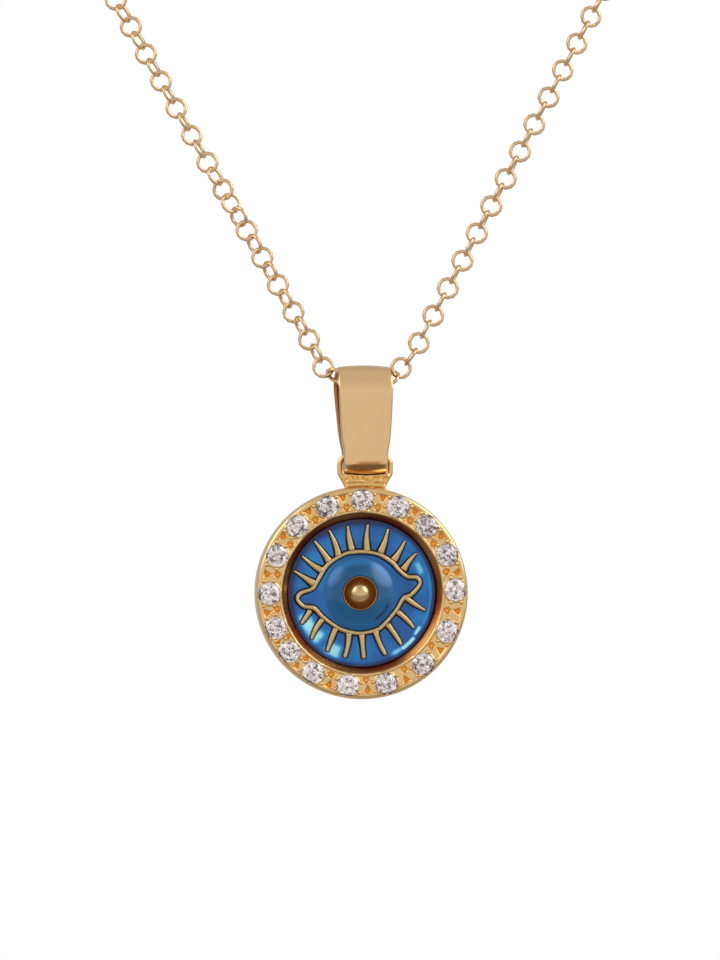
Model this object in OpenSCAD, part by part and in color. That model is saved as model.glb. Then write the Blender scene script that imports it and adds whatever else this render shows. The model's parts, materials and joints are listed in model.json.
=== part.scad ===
// Evil eye pendant on a fine round-link necklace.
// The origin is the nape of the neck, at the middle of the clasp. X points to the viewer's right,
// Y to the back, Z up, so the eye looks along -Y. All sizes are in millimetres.

/* [Setting] */
// Outer diameter of the round setting
disc_d = 12.1; // [11:0.1:16]
// Height of the stone face above the flat back
disc_t = 2; // [1.9:0.05:3]
// Thickness of the closed back under the glass
back_t = 0.6; // [0.4:0.05:0.7]
// Rounding of the setting's outer edges
edge_r = 0.25; // [0.1:0.05:0.4]
// Width of the polished border outside the stone channel
border_w = 0.3; // [0.25:0.05:0.5]
// Depth of the stone channel below the two rims
channel_t = 0.08; // [0.04:0.02:0.16]
// Width of the thin inner rim between channel and lip
rim_w = 0.1; // [0.06:0.02:0.2]
// Width of the sloped lip, seen from the front
lip_w = 0.35; // [0.2:0.05:0.5]
// How far the lip reaches in over the glass
lip_over = 0.22; // [0.1:0.02:0.3]
// Height of the lip's thin inner edge
lip_edge = 0.06; // [0.04:0.01:0.1]

/* [Glass eye] */
// Diameter of the glass disc
glass_d = 8.9; // [8:0.1:9.4]
// Thickness of the flat field of the glass
glass_t = 0.9; // [0.7:0.05:1]
// Diameter of the dome over the iris
dome_d = 4; // [3.6:0.1:4.6]
// Height of the dome above the flat field, before its pit is sunk
dome_h = 0.8; // [0.6:0.05:1]
// Diameter of the pit round the pupil, at its mouth
pit_d = 2.04; // [1.8:0.04:2.4]
// How far the pit's floor lies below the flat field
pit_sink = 0.05; // [0:0.05:0.2]
// How much narrower the pit is at its floor, on each side
pit_taper = 0.12; // [0.08:0.02:0.2]
// Diameter of the gold ball in the pit
ball_d = 1.25; // [1:0.05:1.4]
// Thickness of the gilded cup that lines the pit
cup_t = 0.06; // [0.04:0.01:0.1]
// Width of the relief line round the eye
lid_w = 0.3; // [0.2:0.02:0.34]
// Width of an upper lash where it leaves the lid
lash_w = 0.45; // [0.3:0.01:0.5]
// Height of the relief lines above the flat field
line_h = 0.14; // [0.08:0.02:0.2]
// Turn of the eye in its setting, right corner up
eye_tilt = 8; // [0:1:15]
// How far the eye lies to the left of the glass disc's middle
eye_shift = 0.14; // [0:0.02:0.2]

/* [Stones] */
// Diameter of each round stone at its girdle
stone_d = 1.3; // [1:0.05:1.35]
// Height of the crown above the girdle
crown_h = 0.2; // [0.15:0.01:0.25]
// Depth of the pavilion below the girdle
pavilion_h = 0.55; // [0.45:0.01:0.6]
// Thickness of the girdle
girdle_t = 0.04; // [0.02:0.01:0.06]
// How far the girdle lies below the stone face
stone_sink = 0.04; // [0:0.01:0.08]
// Diameter of the grains that hold the stones
grain_d = 0.24; // [0.16:0.02:0.3]
// Depth of the cut pockets between the stones
pocket_t = 0.3; // [0.15:0.05:0.45]
// Radius of a three-cornered pocket where two stones all but touch
corner_pocket_r = 0.12; // [0.08:0.01:0.16]
// Radius of a round pocket where two stones all but touch
round_pocket_r = 0.08; // [0.06:0.01:0.12]
// Ledge between a round pocket and the inner rim
pocket_ledge = 0.1; // [0.04:0.01:0.14]

/* [Loop on the setting] */
// Diameter of the loop's wire
loop_wire_d = 0.3; // [0.26:0.02:0.36]
// Outer width of the loop at its shoulders
loop_w = 3.2; // [2.8:0.04:3.6]
// Width of the loop's foot on the setting's edge, between wire centres
loop_foot_w = 2.04; // [1.6:0.04:2.4]
// Diameter of the solder bar at the loop's foot
loop_foot_d = 0.42; // [0.4:0.02:0.5]
// Thickness of the solder saddle between the loop's sides, front to back
saddle_t = 0.9; // [0.6:0.05:1]
// Height of the loop's top bar above the setting's edge
loop_rise = 1.74; // [1.6:0.02:2.2]
// Bend radius of the loop's shoulders, at the wire's centre
loop_bend = 0.45; // [0.35:0.05:0.6]
// Length of the loop's upright sides, before they lean in
loop_side = 0.5; // [0.35:0.05:0.6]
// How far the loop is soldered to the right of the setting's middle
loop_shift = 0.25; // [0:0.05:0.5]
// Distance from the setting's back to the middle of the loop's wire
loop_level = 0.82; // [0.7:0.02:1.3]

/* [Bail] */
// Height of the bail
bail_h = 6.33; // [5.6:0.01:8]
// Width of the bail at its top
bail_w = 3.04; // [2.6:0.02:3.2]
// Depth of the bail at its top, front to back
bail_depth = 3; // [2.6:0.1:3.6]
// Depth of the bail's foot, front to back
foot_depth = 1.7; // [1.5:0.05:1.8]
// Thickness of the bail's strap
strap_t = 0.4; // [0.3:0.02:0.5]
// Height of the loop's bar above the bail's lower end
foot_rise = 1.12; // [1:0.02:1.4]
// How much narrower each side of the foot's tip is than at the loop's bar
tip_taper = 0.12; // [0.05:0.01:0.2]
// Rounding of the tip's two lower corners
tip_r = 0.4; // [0.2:0.05:0.5]

/* [Chain and clasp] */
// Diameter of the round envelope of the chain
chain_d = 1; // [0.8:0.05:1.1]
// Length of the clasp over its two eyes
clasp_l = 11.9; // [9:0.1:16]
// Diameter of the clasp's barrel
clasp_d = 2.6; // [2:0.1:4]
// Diameter of the wire of the clasp's eyes
eye_wire_d = 0.4; // [0.3:0.05:0.6]
// Inner diameter of the clasp's eyes
eye_bore = 1; // [0.8:0.1:1.4]

/* [Clearances] */
// Gap between the glass and its cup
glass_gap = 0.05; // [0.03:0.01:0.1]
// Gap between a gilded piece and the glass
gild_gap = 0.02; // [0.01:0.01:0.04]
// Gap between a stone and its seat
stone_gap = 0.03; // [0.02:0.01:0.05]
// Gap between the loop's sides and the edges of the bail
swing_gap = 0.04; // [0.03:0.01:0.1]
// Gap between the loop's bar and the foot of the bail's opening
bar_gap = 0.18; // [0.16:0.01:0.22]
// Gap between the solder saddle and the bail's foot as it swings
saddle_gap = 0.06; // [0.05:0.01:0.1]
// Gap between the chain and the bail's crown
chain_gap = 0.05; // [0.03:0.01:0.1]
// Gap between the chain's end and the clasp's eye
clasp_gap = 0.05; // [0.02:0.01:0.1]

/* [Hidden] */
$fn = 64;
over = 1; // how far a cut runs on past the faces that it opens
bite = 0.001; // how far two cuts that meet run into each other

// Angles of the stones round the setting, in degrees from the viewer's right, as they were set by hand
stone_angles = [90, 67.3, 46.2, 24.3, 1.9, -24.3, -49.2, -75.1,
    -99, -121.9, -141.4, -158.2, -179.8, 156.3, 134.1, 112.2];

// Lid line: each row is an angle round the dome, and the share of the way from the dome's foot to the
// edge of the flat field. Angles are measured with the eye level.
lid_rows = [
    [178, 0.70], [172, 0.61], [166, 0.30], [153, 0.21], [130, 0.19], [104, 0.17], [87, 0.16],
    [71, 0.17], [54, 0.21], [35, 0.25], [23, 0.27], [11, 0.40], [7, 0.63], [0, 0.67],
    [-9, 0.46], [-15, 0.25], [-34, 0.14], [-61, 0.13], [-74, 0.14], [-95, 0.13], [-114, 0.13],
    [-132, 0.15], [-156, 0.23], [-170, 0.34], [-175, 0.58]];

// Lashes: each row is the angle and share of the root, the angle and share of the tip, and the tip's
// width as a share of the root's
lash_rows = [
    [161, 0.27, 153, 0.91, 0.30], [141, 0.18, 139, 0.89, 0.30], [126, 0.20, 123, 0.91, 0.30],
    [112, 0.16, 108, 0.93, 0.30], [92, 0.19, 92, 0.87, 0.40], [71, 0.16, 75, 0.90, 0.40],
    [54, 0.24, 58, 0.93, 0.35], [35, 0.29, 41, 0.91, 0.30], [19, 0.36, 27, 0.92, 0.30],
    [-169, 0.43, -160, 0.81, 0.60], [-153, 0.25, -144, 0.84, 0.60], [-132, 0.17, -127, 0.84, 0.65],
    [-113, 0.14, -111, 0.82, 0.70], [-95, 0.14, -94, 0.81, 0.75], [-75, 0.13, -75, 0.85, 0.65],
    [-56, 0.16, -59, 0.84, 0.60], [-34, 0.17, -41, 0.79, 0.55], [-13, 0.27, -23, 0.88, 0.50]];
lower_lash_share = 0.85; // width of a lower lash against an upper one
lower_lash_first = 9; // rows before this one are upper lashes
lash_tip_h = 0.6; // height of a lash's tip against its root

// Section of a relief line, from its foot up: shares of the line's width and of its height
line_rows = [[0.5, 0], [0.42, 0.55], [0.2, 1]];

// Places of the two grains on each side of a stone, in degrees from the outward direction
grain_turns = [68, 112];
grain_clear = 0.01; // how far a grain stands off the wall of its stone's seat
stone_turn = 37; // turn of each stone against the one before

// How much a pocket's radius grows with the room between two stones
corner_pocket_share = 0.16;
round_pocket_share = 0.08;

loop_sides = 16; // sides of the loop's bent wire
bend_steps = 6; // steps of each bend in the loop's wire
pin_share = 1.03; // diameter of the pin through the loop's top bar against the wire's
saddle_inset = 0.03; // how far the saddle's sides lie inside the middle of the loop's wire
shoulder_over = 0.08; // how much wider the glass's rounded shoulder is than the lip's reach

// Right half of the necklace's route, from the middle of the bail to the clasp
chain_route = [
    [0, -104, -135], [1.6, -104, -135], [2.1, -103.9, -134.6], [4.2, -103.5, -130.75],
    [6.5, -103, -126.5], [11.1, -101.8, -118], [15.7, -100.2, -109.5], [20.3, -98.2, -101],
    [24.9, -95.7, -92.5], [29.5, -92.7, -84], [34.1, -89.2, -75.5], [38.7, -85.2, -67],
    [42, -82, -61], [45, -78.8, -55.5], [48, -75.5, -50.5], [50.5, -72, -45.5], [53, -68, -40.5],
    [55, -63.5, -36], [56.5, -58.5, -31.5], [57, -53, -27.5], [57, -47.5, -23.5], [56.5, -41.5, -20],
    [55, -36, -16.5], [53, -30, -13.5], [50.5, -25, -10.5], [46.5, -19.5, -8], [42.5, -14.5, -6],
    [37.5, -10.5, -4], [32, -7, -2.5], [26, -4, -1.5], [19.5, -1.5, -0.5], [13, -0.5, 0],
    [clasp_l / 2 + clasp_gap, 0, 0]];
chain_sides = 8;

disc_r = disc_d / 2;
cup_r = glass_d / 2 + glass_gap;
lip_r = cup_r - lip_over;
rim_r = lip_r + lip_w;
stone_ring_r = (rim_r + disc_r) / 2;
glass_z = back_t + glass_gap; // underside of the glass
field_z = glass_z + glass_t; // flat field of the glass
glass_round = lip_over + shoulder_over;
lip_z = field_z + glass_gap;
girdle_z = disc_t - stone_sink;
seat_r = stone_d / 2 + stone_gap;
field_r = glass_d / 2 - glass_round; // flat part of the field
dome_r = dome_d / 2;
dome_sphere_r = (dome_r * dome_r + dome_h * dome_h) / (2 * dome_h);
dome_sphere_z = field_z + dome_h - dome_sphere_r;
pit_r = pit_d / 2;
pit_mouth_z = dome_sphere_z + sqrt(pow(dome_sphere_r, 2) - pit_r * pit_r);
pit_floor_z = field_z - pit_sink;
pit_floor_r = pit_r - pit_taper;

loop_half = loop_w / 2 - loop_wire_d / 2; // centre of the loop's sides
loop_bar_y = disc_r + loop_rise;
bail_bar_half = loop_w / 2 - loop_wire_d - swing_gap; // half the bail's width at the loop's bar
bail_tip_half = bail_bar_half - tip_taper;
void_r = loop_wire_d / 2 + bar_gap; // lower end of the bail's opening
bail_top_z = chain_route[0][2] + chain_d / 2 + chain_gap + strap_t;
bar_z = bail_top_z - bail_h + foot_rise; // height of the loop's bar, the pendant's swing axis
hang_y = chain_route[0][1]; // the bail and the pendant hang in this plane

function unit(v) = v / norm(v);

// Direction of a route at point i, the mean of the stretches that meet there
function heading(p, i) =
    i == 0 ? unit(p[1] - p[0])
    : i == len(p) - 1 ? unit(p[i] - p[i - 1])
    : unit(unit(p[i] - p[i - 1]) + unit(p[i + 1] - p[i]));

// One ring of a tube: points on a circle across the heading t
function tube_ring(c, t, r, sides) =
    let (side = unit(cross(t, [0, 0, 1])), up = cross(side, t))
    [for (k = [0 : sides - 1]) c + r * (cos(360 * k / sides) * side + sin(360 * k / sides) * up)];

// A closed tube along a route
module tube(p, d, sides) {
    n = len(p);
    rings = [for (i = [0 : n - 1]) tube_ring(p[i], heading(p, i), d / 2, sides)];
    points = [for (ring = rings) for (q = ring) q];
    skin = [for (i = [0 : n - 2]) for (k = [0 : sides - 1])
        let (a = i * sides + k, b = i * sides + (k + 1) % sides)
        for (face = [[a, b, b + sides], [a, b + sides, a + sides]]) face];
    ends = [[for (k = [0 : sides - 1]) sides - 1 - k], [for (k = [0 : sides - 1]) (n - 1) * sides + k]];
    polyhedron(points, concat(skin, ends));
}

// Two circles joined by their outer tangents, the lower one a drop below the upper
module teardrop(upper_r, lower_r, drop) {
    lean = (lower_r - upper_r) / drop;
    out = [sqrt(1 - lean * lean), lean];
    circle(upper_r);
    translate([0, -drop]) circle(lower_r);
    polygon([
        [upper_r * out[0], upper_r * out[1]],
        [-upper_r * out[0], upper_r * out[1]],
        [-lower_r * out[0], lower_r * out[1] - drop],
        [lower_r * out[0], lower_r * out[1] - drop]]);
}

// Puts a shape drawn as seen from the front, x right, y up, z towards the viewer and measured from
// the setting's back and middle, where the pendant hangs
module on_pendant() {
    translate([-loop_shift, hang_y + loop_level, bar_z - loop_bar_y])
        rotate([90, 0, 0])
            children();
}

// The same for a shape drawn round the middle of the eye
module on_eye() {
    on_pendant() translate([-eye_shift, 0, 0]) children();
}

module chain_right() {
    color("goldenrod") tube(chain_route, chain_d, chain_sides);
}

module chain_left() {
    color("goldenrod") mirror([1, 0, 0]) tube(chain_route, chain_d, chain_sides);
}

// Closed barrel with an eye at each end for the chain
module clasp() {
    eye_r = (eye_bore + eye_wire_d) / 2;
    eye_x = clasp_l / 2 - eye_r - eye_wire_d / 2;
    barrel_l = 2 * (eye_x - eye_r);
    neck_r = eye_wire_d;
    color("goldenrod") {
        rotate([0, 90, 0])
            rotate_extrude()
                polygon([
                    [0, -barrel_l / 2], [neck_r, -barrel_l / 2],
                    [clasp_d / 2, -barrel_l / 2 + clasp_d / 2],
                    [clasp_d / 2, barrel_l / 2 - clasp_d / 2],
                    [neck_r, barrel_l / 2], [0, barrel_l / 2]]);
        for (side = [-1, 1])
            translate([side * eye_x, 0, 0])
                rotate([90, 0, 0])
                    rotate_extrude()
                        translate([eye_r, 0]) circle(eye_wire_d / 2);
    }
}

// Front outline of the bail: it narrows from its top to the loop's bar and has a round-cornered tip.
// Heights are measured from the loop's bar.
module bail_outline() {
    top = bail_h - foot_rise;
    tip_y = tip_r - foot_rise;
    difference() {
        polygon([
            [-bail_w / 2, top + over], [bail_w / 2, top + over], [bail_w / 2, top],
            [bail_bar_half, 0], [bail_tip_half, tip_y], [bail_tip_half, -foot_rise - over],
            [-bail_tip_half, -foot_rise - over], [-bail_tip_half, tip_y],
            [-bail_bar_half, 0], [-bail_w / 2, top]]);
        difference() {
            translate([-bail_w, -foot_rise - 2 * over]) square([2 * bail_w, tip_r + 2 * over]);
            translate([tip_r - bail_tip_half, -foot_rise - tip_r])
                square([2 * (bail_tip_half - tip_r), 2 * tip_r + over]);
            for (side = [-1, 1])
                translate([side * (bail_tip_half - tip_r), tip_y]) circle(tip_r);
        }
    }
}

// Folded strap: a teardrop loop seen from the side, closed and solid at its foot
module bail() {
    crown_r = bail_depth / 2;
    foot_r = foot_depth / 2;
    crown_y = bail_h - foot_rise - crown_r;
    color("tan")
        translate([0, hang_y, bar_z])
            intersection() {
                rotate([90, 0, 90])
                    linear_extrude(bail_w, center = true)
                        difference() {
                            translate([0, crown_y])
                                teardrop(crown_r, foot_r, crown_y + foot_rise - foot_r);
                            translate([0, crown_y])
                                teardrop(crown_r - strap_t, void_r, crown_y);
                        }
                rotate([90, 0, 0])
                    linear_extrude(bail_depth + over, center = true) bail_outline();
            }
}

// Half section of the setting, radius along x and height above the back along y
module setting_section() {
    difference() {
        union() {
            square([disc_r - edge_r, disc_t]);
            translate([0, edge_r]) square([disc_r, disc_t - 2 * edge_r]);
            translate([disc_r - edge_r, edge_r]) circle(edge_r);
            translate([disc_r - edge_r, disc_t - edge_r]) circle(edge_r);
        }
        translate([-disc_r, 0]) square([disc_r, disc_t]);
        polygon([
            [-over, back_t], [cup_r, back_t], [cup_r, lip_z - lip_over], [lip_r, lip_z],
            [lip_r, lip_z + lip_edge], [rim_r, disc_t], [rim_r, disc_t + over],
            [-over, disc_t + over]]);
        translate([rim_r + rim_w, disc_t - channel_t])
            square([disc_r - border_w - rim_r - rim_w, over]);
    }
}

// Seat of one stone: a cone for its pavilion under an open round mouth
module stone_seat() {
    seat_h = pavilion_h * seat_r / (stone_d / 2) + girdle_t / 2;
    translate([0, 0, -seat_h]) cylinder(h = seat_h, r1 = 0, r2 = seat_r);
    cylinder(h = disc_t, r = seat_r);
}

// Two cut pockets in the gap between stone i and the next one: a three-cornered one at the border and
// a round one at the inner rim, both wider where the gap is wider
module pockets(i) {
    a = stone_angles[i];
    b = stone_angles[(i + 1) % len(stone_angles)];
    turn = (a - b + 720) % 360;
    room = 2 * stone_ring_r * sin(turn / 2) - 2 * seat_r;
    corner_r = corner_pocket_r + corner_pocket_share * room;
    round_r = round_pocket_r + round_pocket_share * room;
    rotate([0, 0, a - turn / 2])
        translate([0, 0, disc_t - pocket_t]) {
            translate([disc_r - border_w - corner_r, 0, 0])
                rotate([0, 0, 180]) cylinder(h = pocket_t + over, r = corner_r, $fn = 3);
            translate([rim_r + rim_w + pocket_ledge + round_r, 0, 0])
                cylinder(h = pocket_t + over, r = round_r);
        }
}

// Places of the grains in the gap between stone i and the next one. Each stone has one on the outer
// side and one on the inner side, and where two would run together one between them holds both stones.
function grain_places(i) =
    let (a = stone_angles[i], b = stone_angles[(i + 1) % len(stone_angles)],
        half = ((a - b + 720) % 360) / 2, mid = a - half,
        reach = seat_r + grain_d / 2 + grain_clear,
        room = sqrt(max(0, pow(reach, 2) - pow(stone_ring_r * sin(half), 2))))
    [for (turn = grain_turns)
        let (place = [stone_ring_r + reach * cos(turn), reach * sin(turn)],
            aside = half - atan2(place[1], place[0]))
        each (norm(place) * sin(aside) > grain_d / 2
            ? [for (side = [-1, 1]) norm(place) * [cos(mid + side * aside), sin(mid + side * aside)]]
            : [(stone_ring_r * cos(half) + sign(cos(turn)) * room) * [cos(mid), sin(mid)]])];

// Right half of the loop's route, from the end of its top bar round the bend and down into the setting,
// drawn round the middle of the bar
function loop_route() =
    let (side_y = -loop_bend - loop_side, foot = [loop_foot_w / 2, -loop_rise, 0],
        lean = unit(foot - [loop_half, side_y, 0]))
    concat(
        [[0, 0, 0]],
        [for (k = [0 : bend_steps])
            let (turn = 90 - 90 * k / bend_steps)
            [loop_half - loop_bend + loop_bend * cos(turn), loop_bend * sin(turn) - loop_bend, 0]],
        [[loop_half, side_y, 0], foot + loop_foot_d * lean]);

// Wire loop in the plane of the setting, with a bar and a saddle of solder at its foot. The saddle is
// hollowed to clear the bail's foot as it swings, and a round pin runs through the loop's top bar.
module wire_loop() {
    half = loop_route();
    n = len(half);
    foot_half = loop_foot_w / 2;
    saddle_half = loop_half - saddle_inset;
    whole = concat(
        [for (i = [1 : n - 1]) [-half[n - i][0], half[n - i][1], 0]],
        [for (i = [1 : n - 1]) half[i]]);
    tube(whole, loop_wire_d, loop_sides);
    translate([loop_bend - loop_half, 0, 0])
        rotate([0, 90, 0])
            cylinder(h = 2 * (loop_half - loop_bend), d = loop_wire_d * pin_share);
    translate([-foot_half - loop_foot_d / 2, -loop_rise, 0])
        rotate([0, 90, 0]) cylinder(h = 2 * foot_half + loop_foot_d, d = loop_foot_d);
    difference() {
        linear_extrude(saddle_t, center = true)
            polygon([
                [-saddle_half, -loop_bend - loop_side], [saddle_inset - foot_half, -loop_rise],
                [saddle_inset - foot_half, -loop_rise - loop_foot_d],
                [foot_half - saddle_inset, -loop_rise - loop_foot_d],
                [foot_half - saddle_inset, -loop_rise], [saddle_half, -loop_bend - loop_side]]);
        rotate([0, 90, 0]) cylinder(h = 2 * loop_w, r = foot_rise + saddle_gap, center = true);
    }
}

// Round setting with its stone channel, seats, pockets, grains, lip and soldered loop
module setting() {
    color("goldenrod")
        on_pendant() {
            difference() {
                rotate_extrude() setting_section();
                for (i = [0 : len(stone_angles) - 1]) {
                    rotate([0, 0, stone_angles[i]])
                        translate([stone_ring_r, 0, girdle_z]) stone_seat();
                    pockets(i);
                }
            }
            for (i = [0 : len(stone_angles) - 1])
                for (place = grain_places(i))
                    translate([place[0], place[1], disc_t - channel_t]) sphere(grain_d / 2);
            translate([loop_shift, loop_bar_y, loop_level]) wire_loop();
        }
}

// Glass disc with a rounded shoulder, a dome and a pit
module glass() {
    glass_r = glass_d / 2;
    color("steelblue")
        on_pendant()
            difference() {
                union() {
                    rotate_extrude()
                        difference() {
                            union() {
                                translate([0, glass_z])
                                    square([glass_r, glass_t - glass_round]);
                                translate([0, glass_z]) square([field_r, glass_t]);
                                translate([field_r, field_z - glass_round]) circle(glass_round);
                            }
                            translate([-over, glass_z - over]) square([glass_r + 2 * over, over]);
                        }
                    translate([-eye_shift, 0, 0])
                        intersection() {
                            translate([0, 0, dome_sphere_z]) sphere(dome_sphere_r);
                            translate([0, 0, glass_z + glass_t / 2])
                                cylinder(h = glass_t + dome_h, r = dome_r);
                        }
                }
                translate([-eye_shift, 0, pit_floor_z])
                    cylinder(h = pit_mouth_z - pit_floor_z, r1 = pit_floor_r, r2 = pit_r);
                translate([-eye_shift, 0, pit_mouth_z - bite]) cylinder(h = dome_h, r = pit_r);
            }
}

// Gilded cup that lines the pit, with the gold ball in it
module pupil() {
    floor_z = pit_floor_z + gild_gap;
    top_z = pit_mouth_z - 2 * gild_gap;
    color("darkgoldenrod")
        on_eye()
            rotate_extrude()
                union() {
                    polygon([
                        [0, floor_z], [pit_floor_r - gild_gap, floor_z], [pit_r - 2 * gild_gap, top_z],
                        [pit_r - 2 * gild_gap - cup_t, top_z],
                        [pit_floor_r - gild_gap - cup_t, floor_z + cup_t], [0, floor_z + cup_t]]);
                    intersection() {
                        translate([0, floor_z + cup_t]) circle(ball_d / 2);
                        translate([0, floor_z]) square(ball_d);
                    }
                }
}

// Place on the flat field, from an angle round the dome and a share of the way to the field's edge
function on_field(angle, share) =
    (dome_r + share * (glass_d / 2 - lip_over - dome_r)) * [cos(angle), sin(angle)];

// Short rounded dome from which the relief lines are drawn
module line_dab(w, h) {
    rotate_extrude($fn = 10)
        polygon(concat([[0, 0]], [for (row = line_rows) [row[0] * w, row[1] * h]], [[0, h]]));
}

// Relief lines of the eye: the closed lid line with its two hooked corners, and the lashes
module eye_lines() {
    n = len(lid_rows);
    color("darkgoldenrod")
        on_eye()
            translate([0, 0, field_z + gild_gap])
                rotate([0, 0, eye_tilt]) {
                    for (i = [0 : n - 1])
                        hull()
                            for (row = [lid_rows[i], lid_rows[(i + 1) % n]])
                                translate(on_field(row[0], row[1])) line_dab(lid_w, line_h);
                    for (i = [0 : len(lash_rows) - 1]) {
                        row = lash_rows[i];
                        root_w = lash_w * (i < lower_lash_first ? 1 : lower_lash_share);
                        hull() {
                            translate(on_field(row[0], row[1])) line_dab(root_w, line_h);
                            translate(on_field(row[2], row[3])) line_dab(root_w * row[4], line_h * lash_tip_h);
                        }
                    }
                }
}

// Points of a round brilliant on its girdle's middle plane: table, crown, girdle twice, pavilion, culet
function brilliant_points(r, crown, pavilion, band) =
    let (table = 0.56, star = 0.78, lower = 0.24, c = cos(22.5))
    concat(
        [for (k = [0 : 7]) [r * table * cos(45 * k), r * table * sin(45 * k), band / 2 + crown]],
        [for (k = [0 : 7]) [r * star * cos(45 * k + 22.5), r * star * sin(45 * k + 22.5),
            band / 2 + crown * (1 - star * c) / (1 - table)]],
        [for (z = [band / 2, -band / 2]) for (k = [0 : 15]) [r * cos(22.5 * k), r * sin(22.5 * k), z]],
        [for (k = [0 : 7]) [r * lower * cos(45 * k + 22.5), r * lower * sin(45 * k + 22.5),
            -band / 2 - pavilion * (1 - lower * c)]],
        [[0, 0, -band / 2 - pavilion]]);

// Facets of the brilliant as triangles, listed clockwise from outside
brilliant_faces = concat(
    [for (k = [1 : 6]) [0, k + 1, k]],
    [for (k = [0 : 7]) let (m = (k + 1) % 8) each [
        [k, m, 8 + k],
        [8 + k, 16 + 2 * m, 16 + 2 * k + 1],
        [8 + k, 16 + 2 * k + 1, 16 + 2 * k],
        [k, 8 + k, 16 + 2 * k],
        [m, 16 + 2 * m, 8 + k],
        [48 + k, 32 + 2 * k, 32 + 2 * k + 1],
        [48 + k, 32 + 2 * k + 1, 32 + 2 * m],
        [56, 32 + 2 * k, 48 + k],
        [56, 48 + k, 32 + 2 * m]]],
    [for (k = [0 : 15]) let (m = (k + 1) % 16) each [
        [16 + k, 16 + m, 32 + m],
        [16 + k, 32 + m, 32 + k]]]);

// Stone i, counted clockwise from the top, turned a little differently from its neighbours
module stone(i) {
    color("whitesmoke")
        on_pendant()
            rotate([0, 0, stone_angles[i]])
                translate([stone_ring_r, 0, girdle_z])
                    rotate([0, 0, stone_turn * i])
                        polyhedron(brilliant_points(stone_d / 2, crown_h, pavilion_h, girdle_t),
                            brilliant_faces);
}

chain_left();
chain_right();
clasp();
bail();
setting();
glass();
eye_lines();
pupil();
for (i = [0 : 15])
    stone(i);
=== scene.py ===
import json
import math
import bpy
import numpy as np
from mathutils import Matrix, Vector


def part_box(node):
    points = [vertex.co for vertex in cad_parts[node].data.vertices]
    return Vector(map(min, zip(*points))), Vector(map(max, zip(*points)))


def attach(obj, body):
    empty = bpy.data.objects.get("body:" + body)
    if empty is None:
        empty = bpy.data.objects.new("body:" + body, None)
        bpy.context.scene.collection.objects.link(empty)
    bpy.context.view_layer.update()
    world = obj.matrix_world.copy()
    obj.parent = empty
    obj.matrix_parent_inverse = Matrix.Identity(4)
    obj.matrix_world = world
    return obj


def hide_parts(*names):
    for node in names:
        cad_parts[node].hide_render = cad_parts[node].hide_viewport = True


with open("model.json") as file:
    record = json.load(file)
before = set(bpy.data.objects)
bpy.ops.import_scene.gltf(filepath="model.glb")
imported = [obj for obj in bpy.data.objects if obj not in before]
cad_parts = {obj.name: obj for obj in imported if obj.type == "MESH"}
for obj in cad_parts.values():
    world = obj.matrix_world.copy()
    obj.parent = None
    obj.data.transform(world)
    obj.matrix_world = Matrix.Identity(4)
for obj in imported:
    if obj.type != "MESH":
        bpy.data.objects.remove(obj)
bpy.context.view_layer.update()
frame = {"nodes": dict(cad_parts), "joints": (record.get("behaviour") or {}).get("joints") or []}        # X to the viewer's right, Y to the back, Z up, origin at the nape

mm = 0.001


def boxOf(node):
    # Lowest and highest corner of a node of the frame, in millimetres.
    low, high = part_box(node)
    return np.array(low) / mm, np.array(high) / mm


discMiddle = sum(boxOf("glass")) / 2
backY = boxOf("setting")[1][1]
bailTop = boxOf("bail")[1][2]
claspEnd = boxOf("clasp")[1][0]
jointSpots = {joint["name"]: np.array(joint["pos_m"]) / mm for joint in frame["joints"]}
bailBar = jointSpots["bail_swing"]
swingBar = jointSpots["pendant_swing"]
stoneNames = sorted(name for name in frame["nodes"] if name.startswith("stone_"))
stoneMiddles = np.array([sum(boxOf(name)) / 2 for name in stoneNames])


# Meshes from grids of points

def gridPart(points, looped=False, poles=(False, False), tone=None):
    # A skin over a grid of points, rows by columns, whose last column joins its first. A looped grid
    # joins its last row to its first too, and a pole is a row that shrinks to one point. The faces are
    # turned outwards by the sign of the volume that they enclose.
    rows, columns = points.shape[:2]
    index = np.arange(rows * columns).reshape(rows, columns)
    if poles[0]:
        index[0] = index[0, 0]
    if poles[1]:
        index[-1] = index[-1, 0]
    index = np.concatenate([index, index[:, :1]], axis=1)
    if looped:
        index = np.concatenate([index, index[:1]], axis=0)
    quads = np.stack([index[:-1, :-1], index[:-1, 1:], index[1:, 1:], index[1:, :-1]], axis=-1)
    quads = quads.reshape(-1, 4)
    startFan = quads[:, 0] == quads[:, 1]
    endFan = quads[:, 2] == quads[:, 3]
    triangles = np.concatenate([quads[startFan][:, [0, 2, 3]], quads[endFan][:, [0, 1, 2]]])
    quads = quads[~(startFan | endFan)]
    flat = points.reshape(-1, 3)
    tones = np.zeros(len(flat)) if tone is None else np.broadcast_to(tone, (rows, columns)).reshape(-1)
    corners = np.concatenate([triangles, quads[:, [0, 1, 2]], quads[:, [0, 2, 3]]])
    a, b, c = flat[corners[:, 0]], flat[corners[:, 1]], flat[corners[:, 2]]
    middle = flat.mean(axis=0)
    volume = np.einsum("ij,ij->i", a - middle, np.cross(b - middle, c - middle)).sum()
    if volume < 0:
        quads, triangles = quads[:, ::-1], triangles[:, ::-1]
    return {"points": flat, "quads": quads, "triangles": triangles, "tone": tones}


def copiesOf(part, points):
    # The same skin over many sets of points: copies by points by 3, each offset in the numbering.
    count, size = points.shape[:2]
    step = (np.arange(count) * size)[:, None, None]
    quads = (part["quads"][None] + step).reshape(-1, 4)
    triangles = (part["triangles"][None] + step).reshape(-1, 3)
    tone = np.tile(part["tone"], count)
    return {"points": points.reshape(-1, 3), "quads": quads, "triangles": triangles, "tone": tone}


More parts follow.
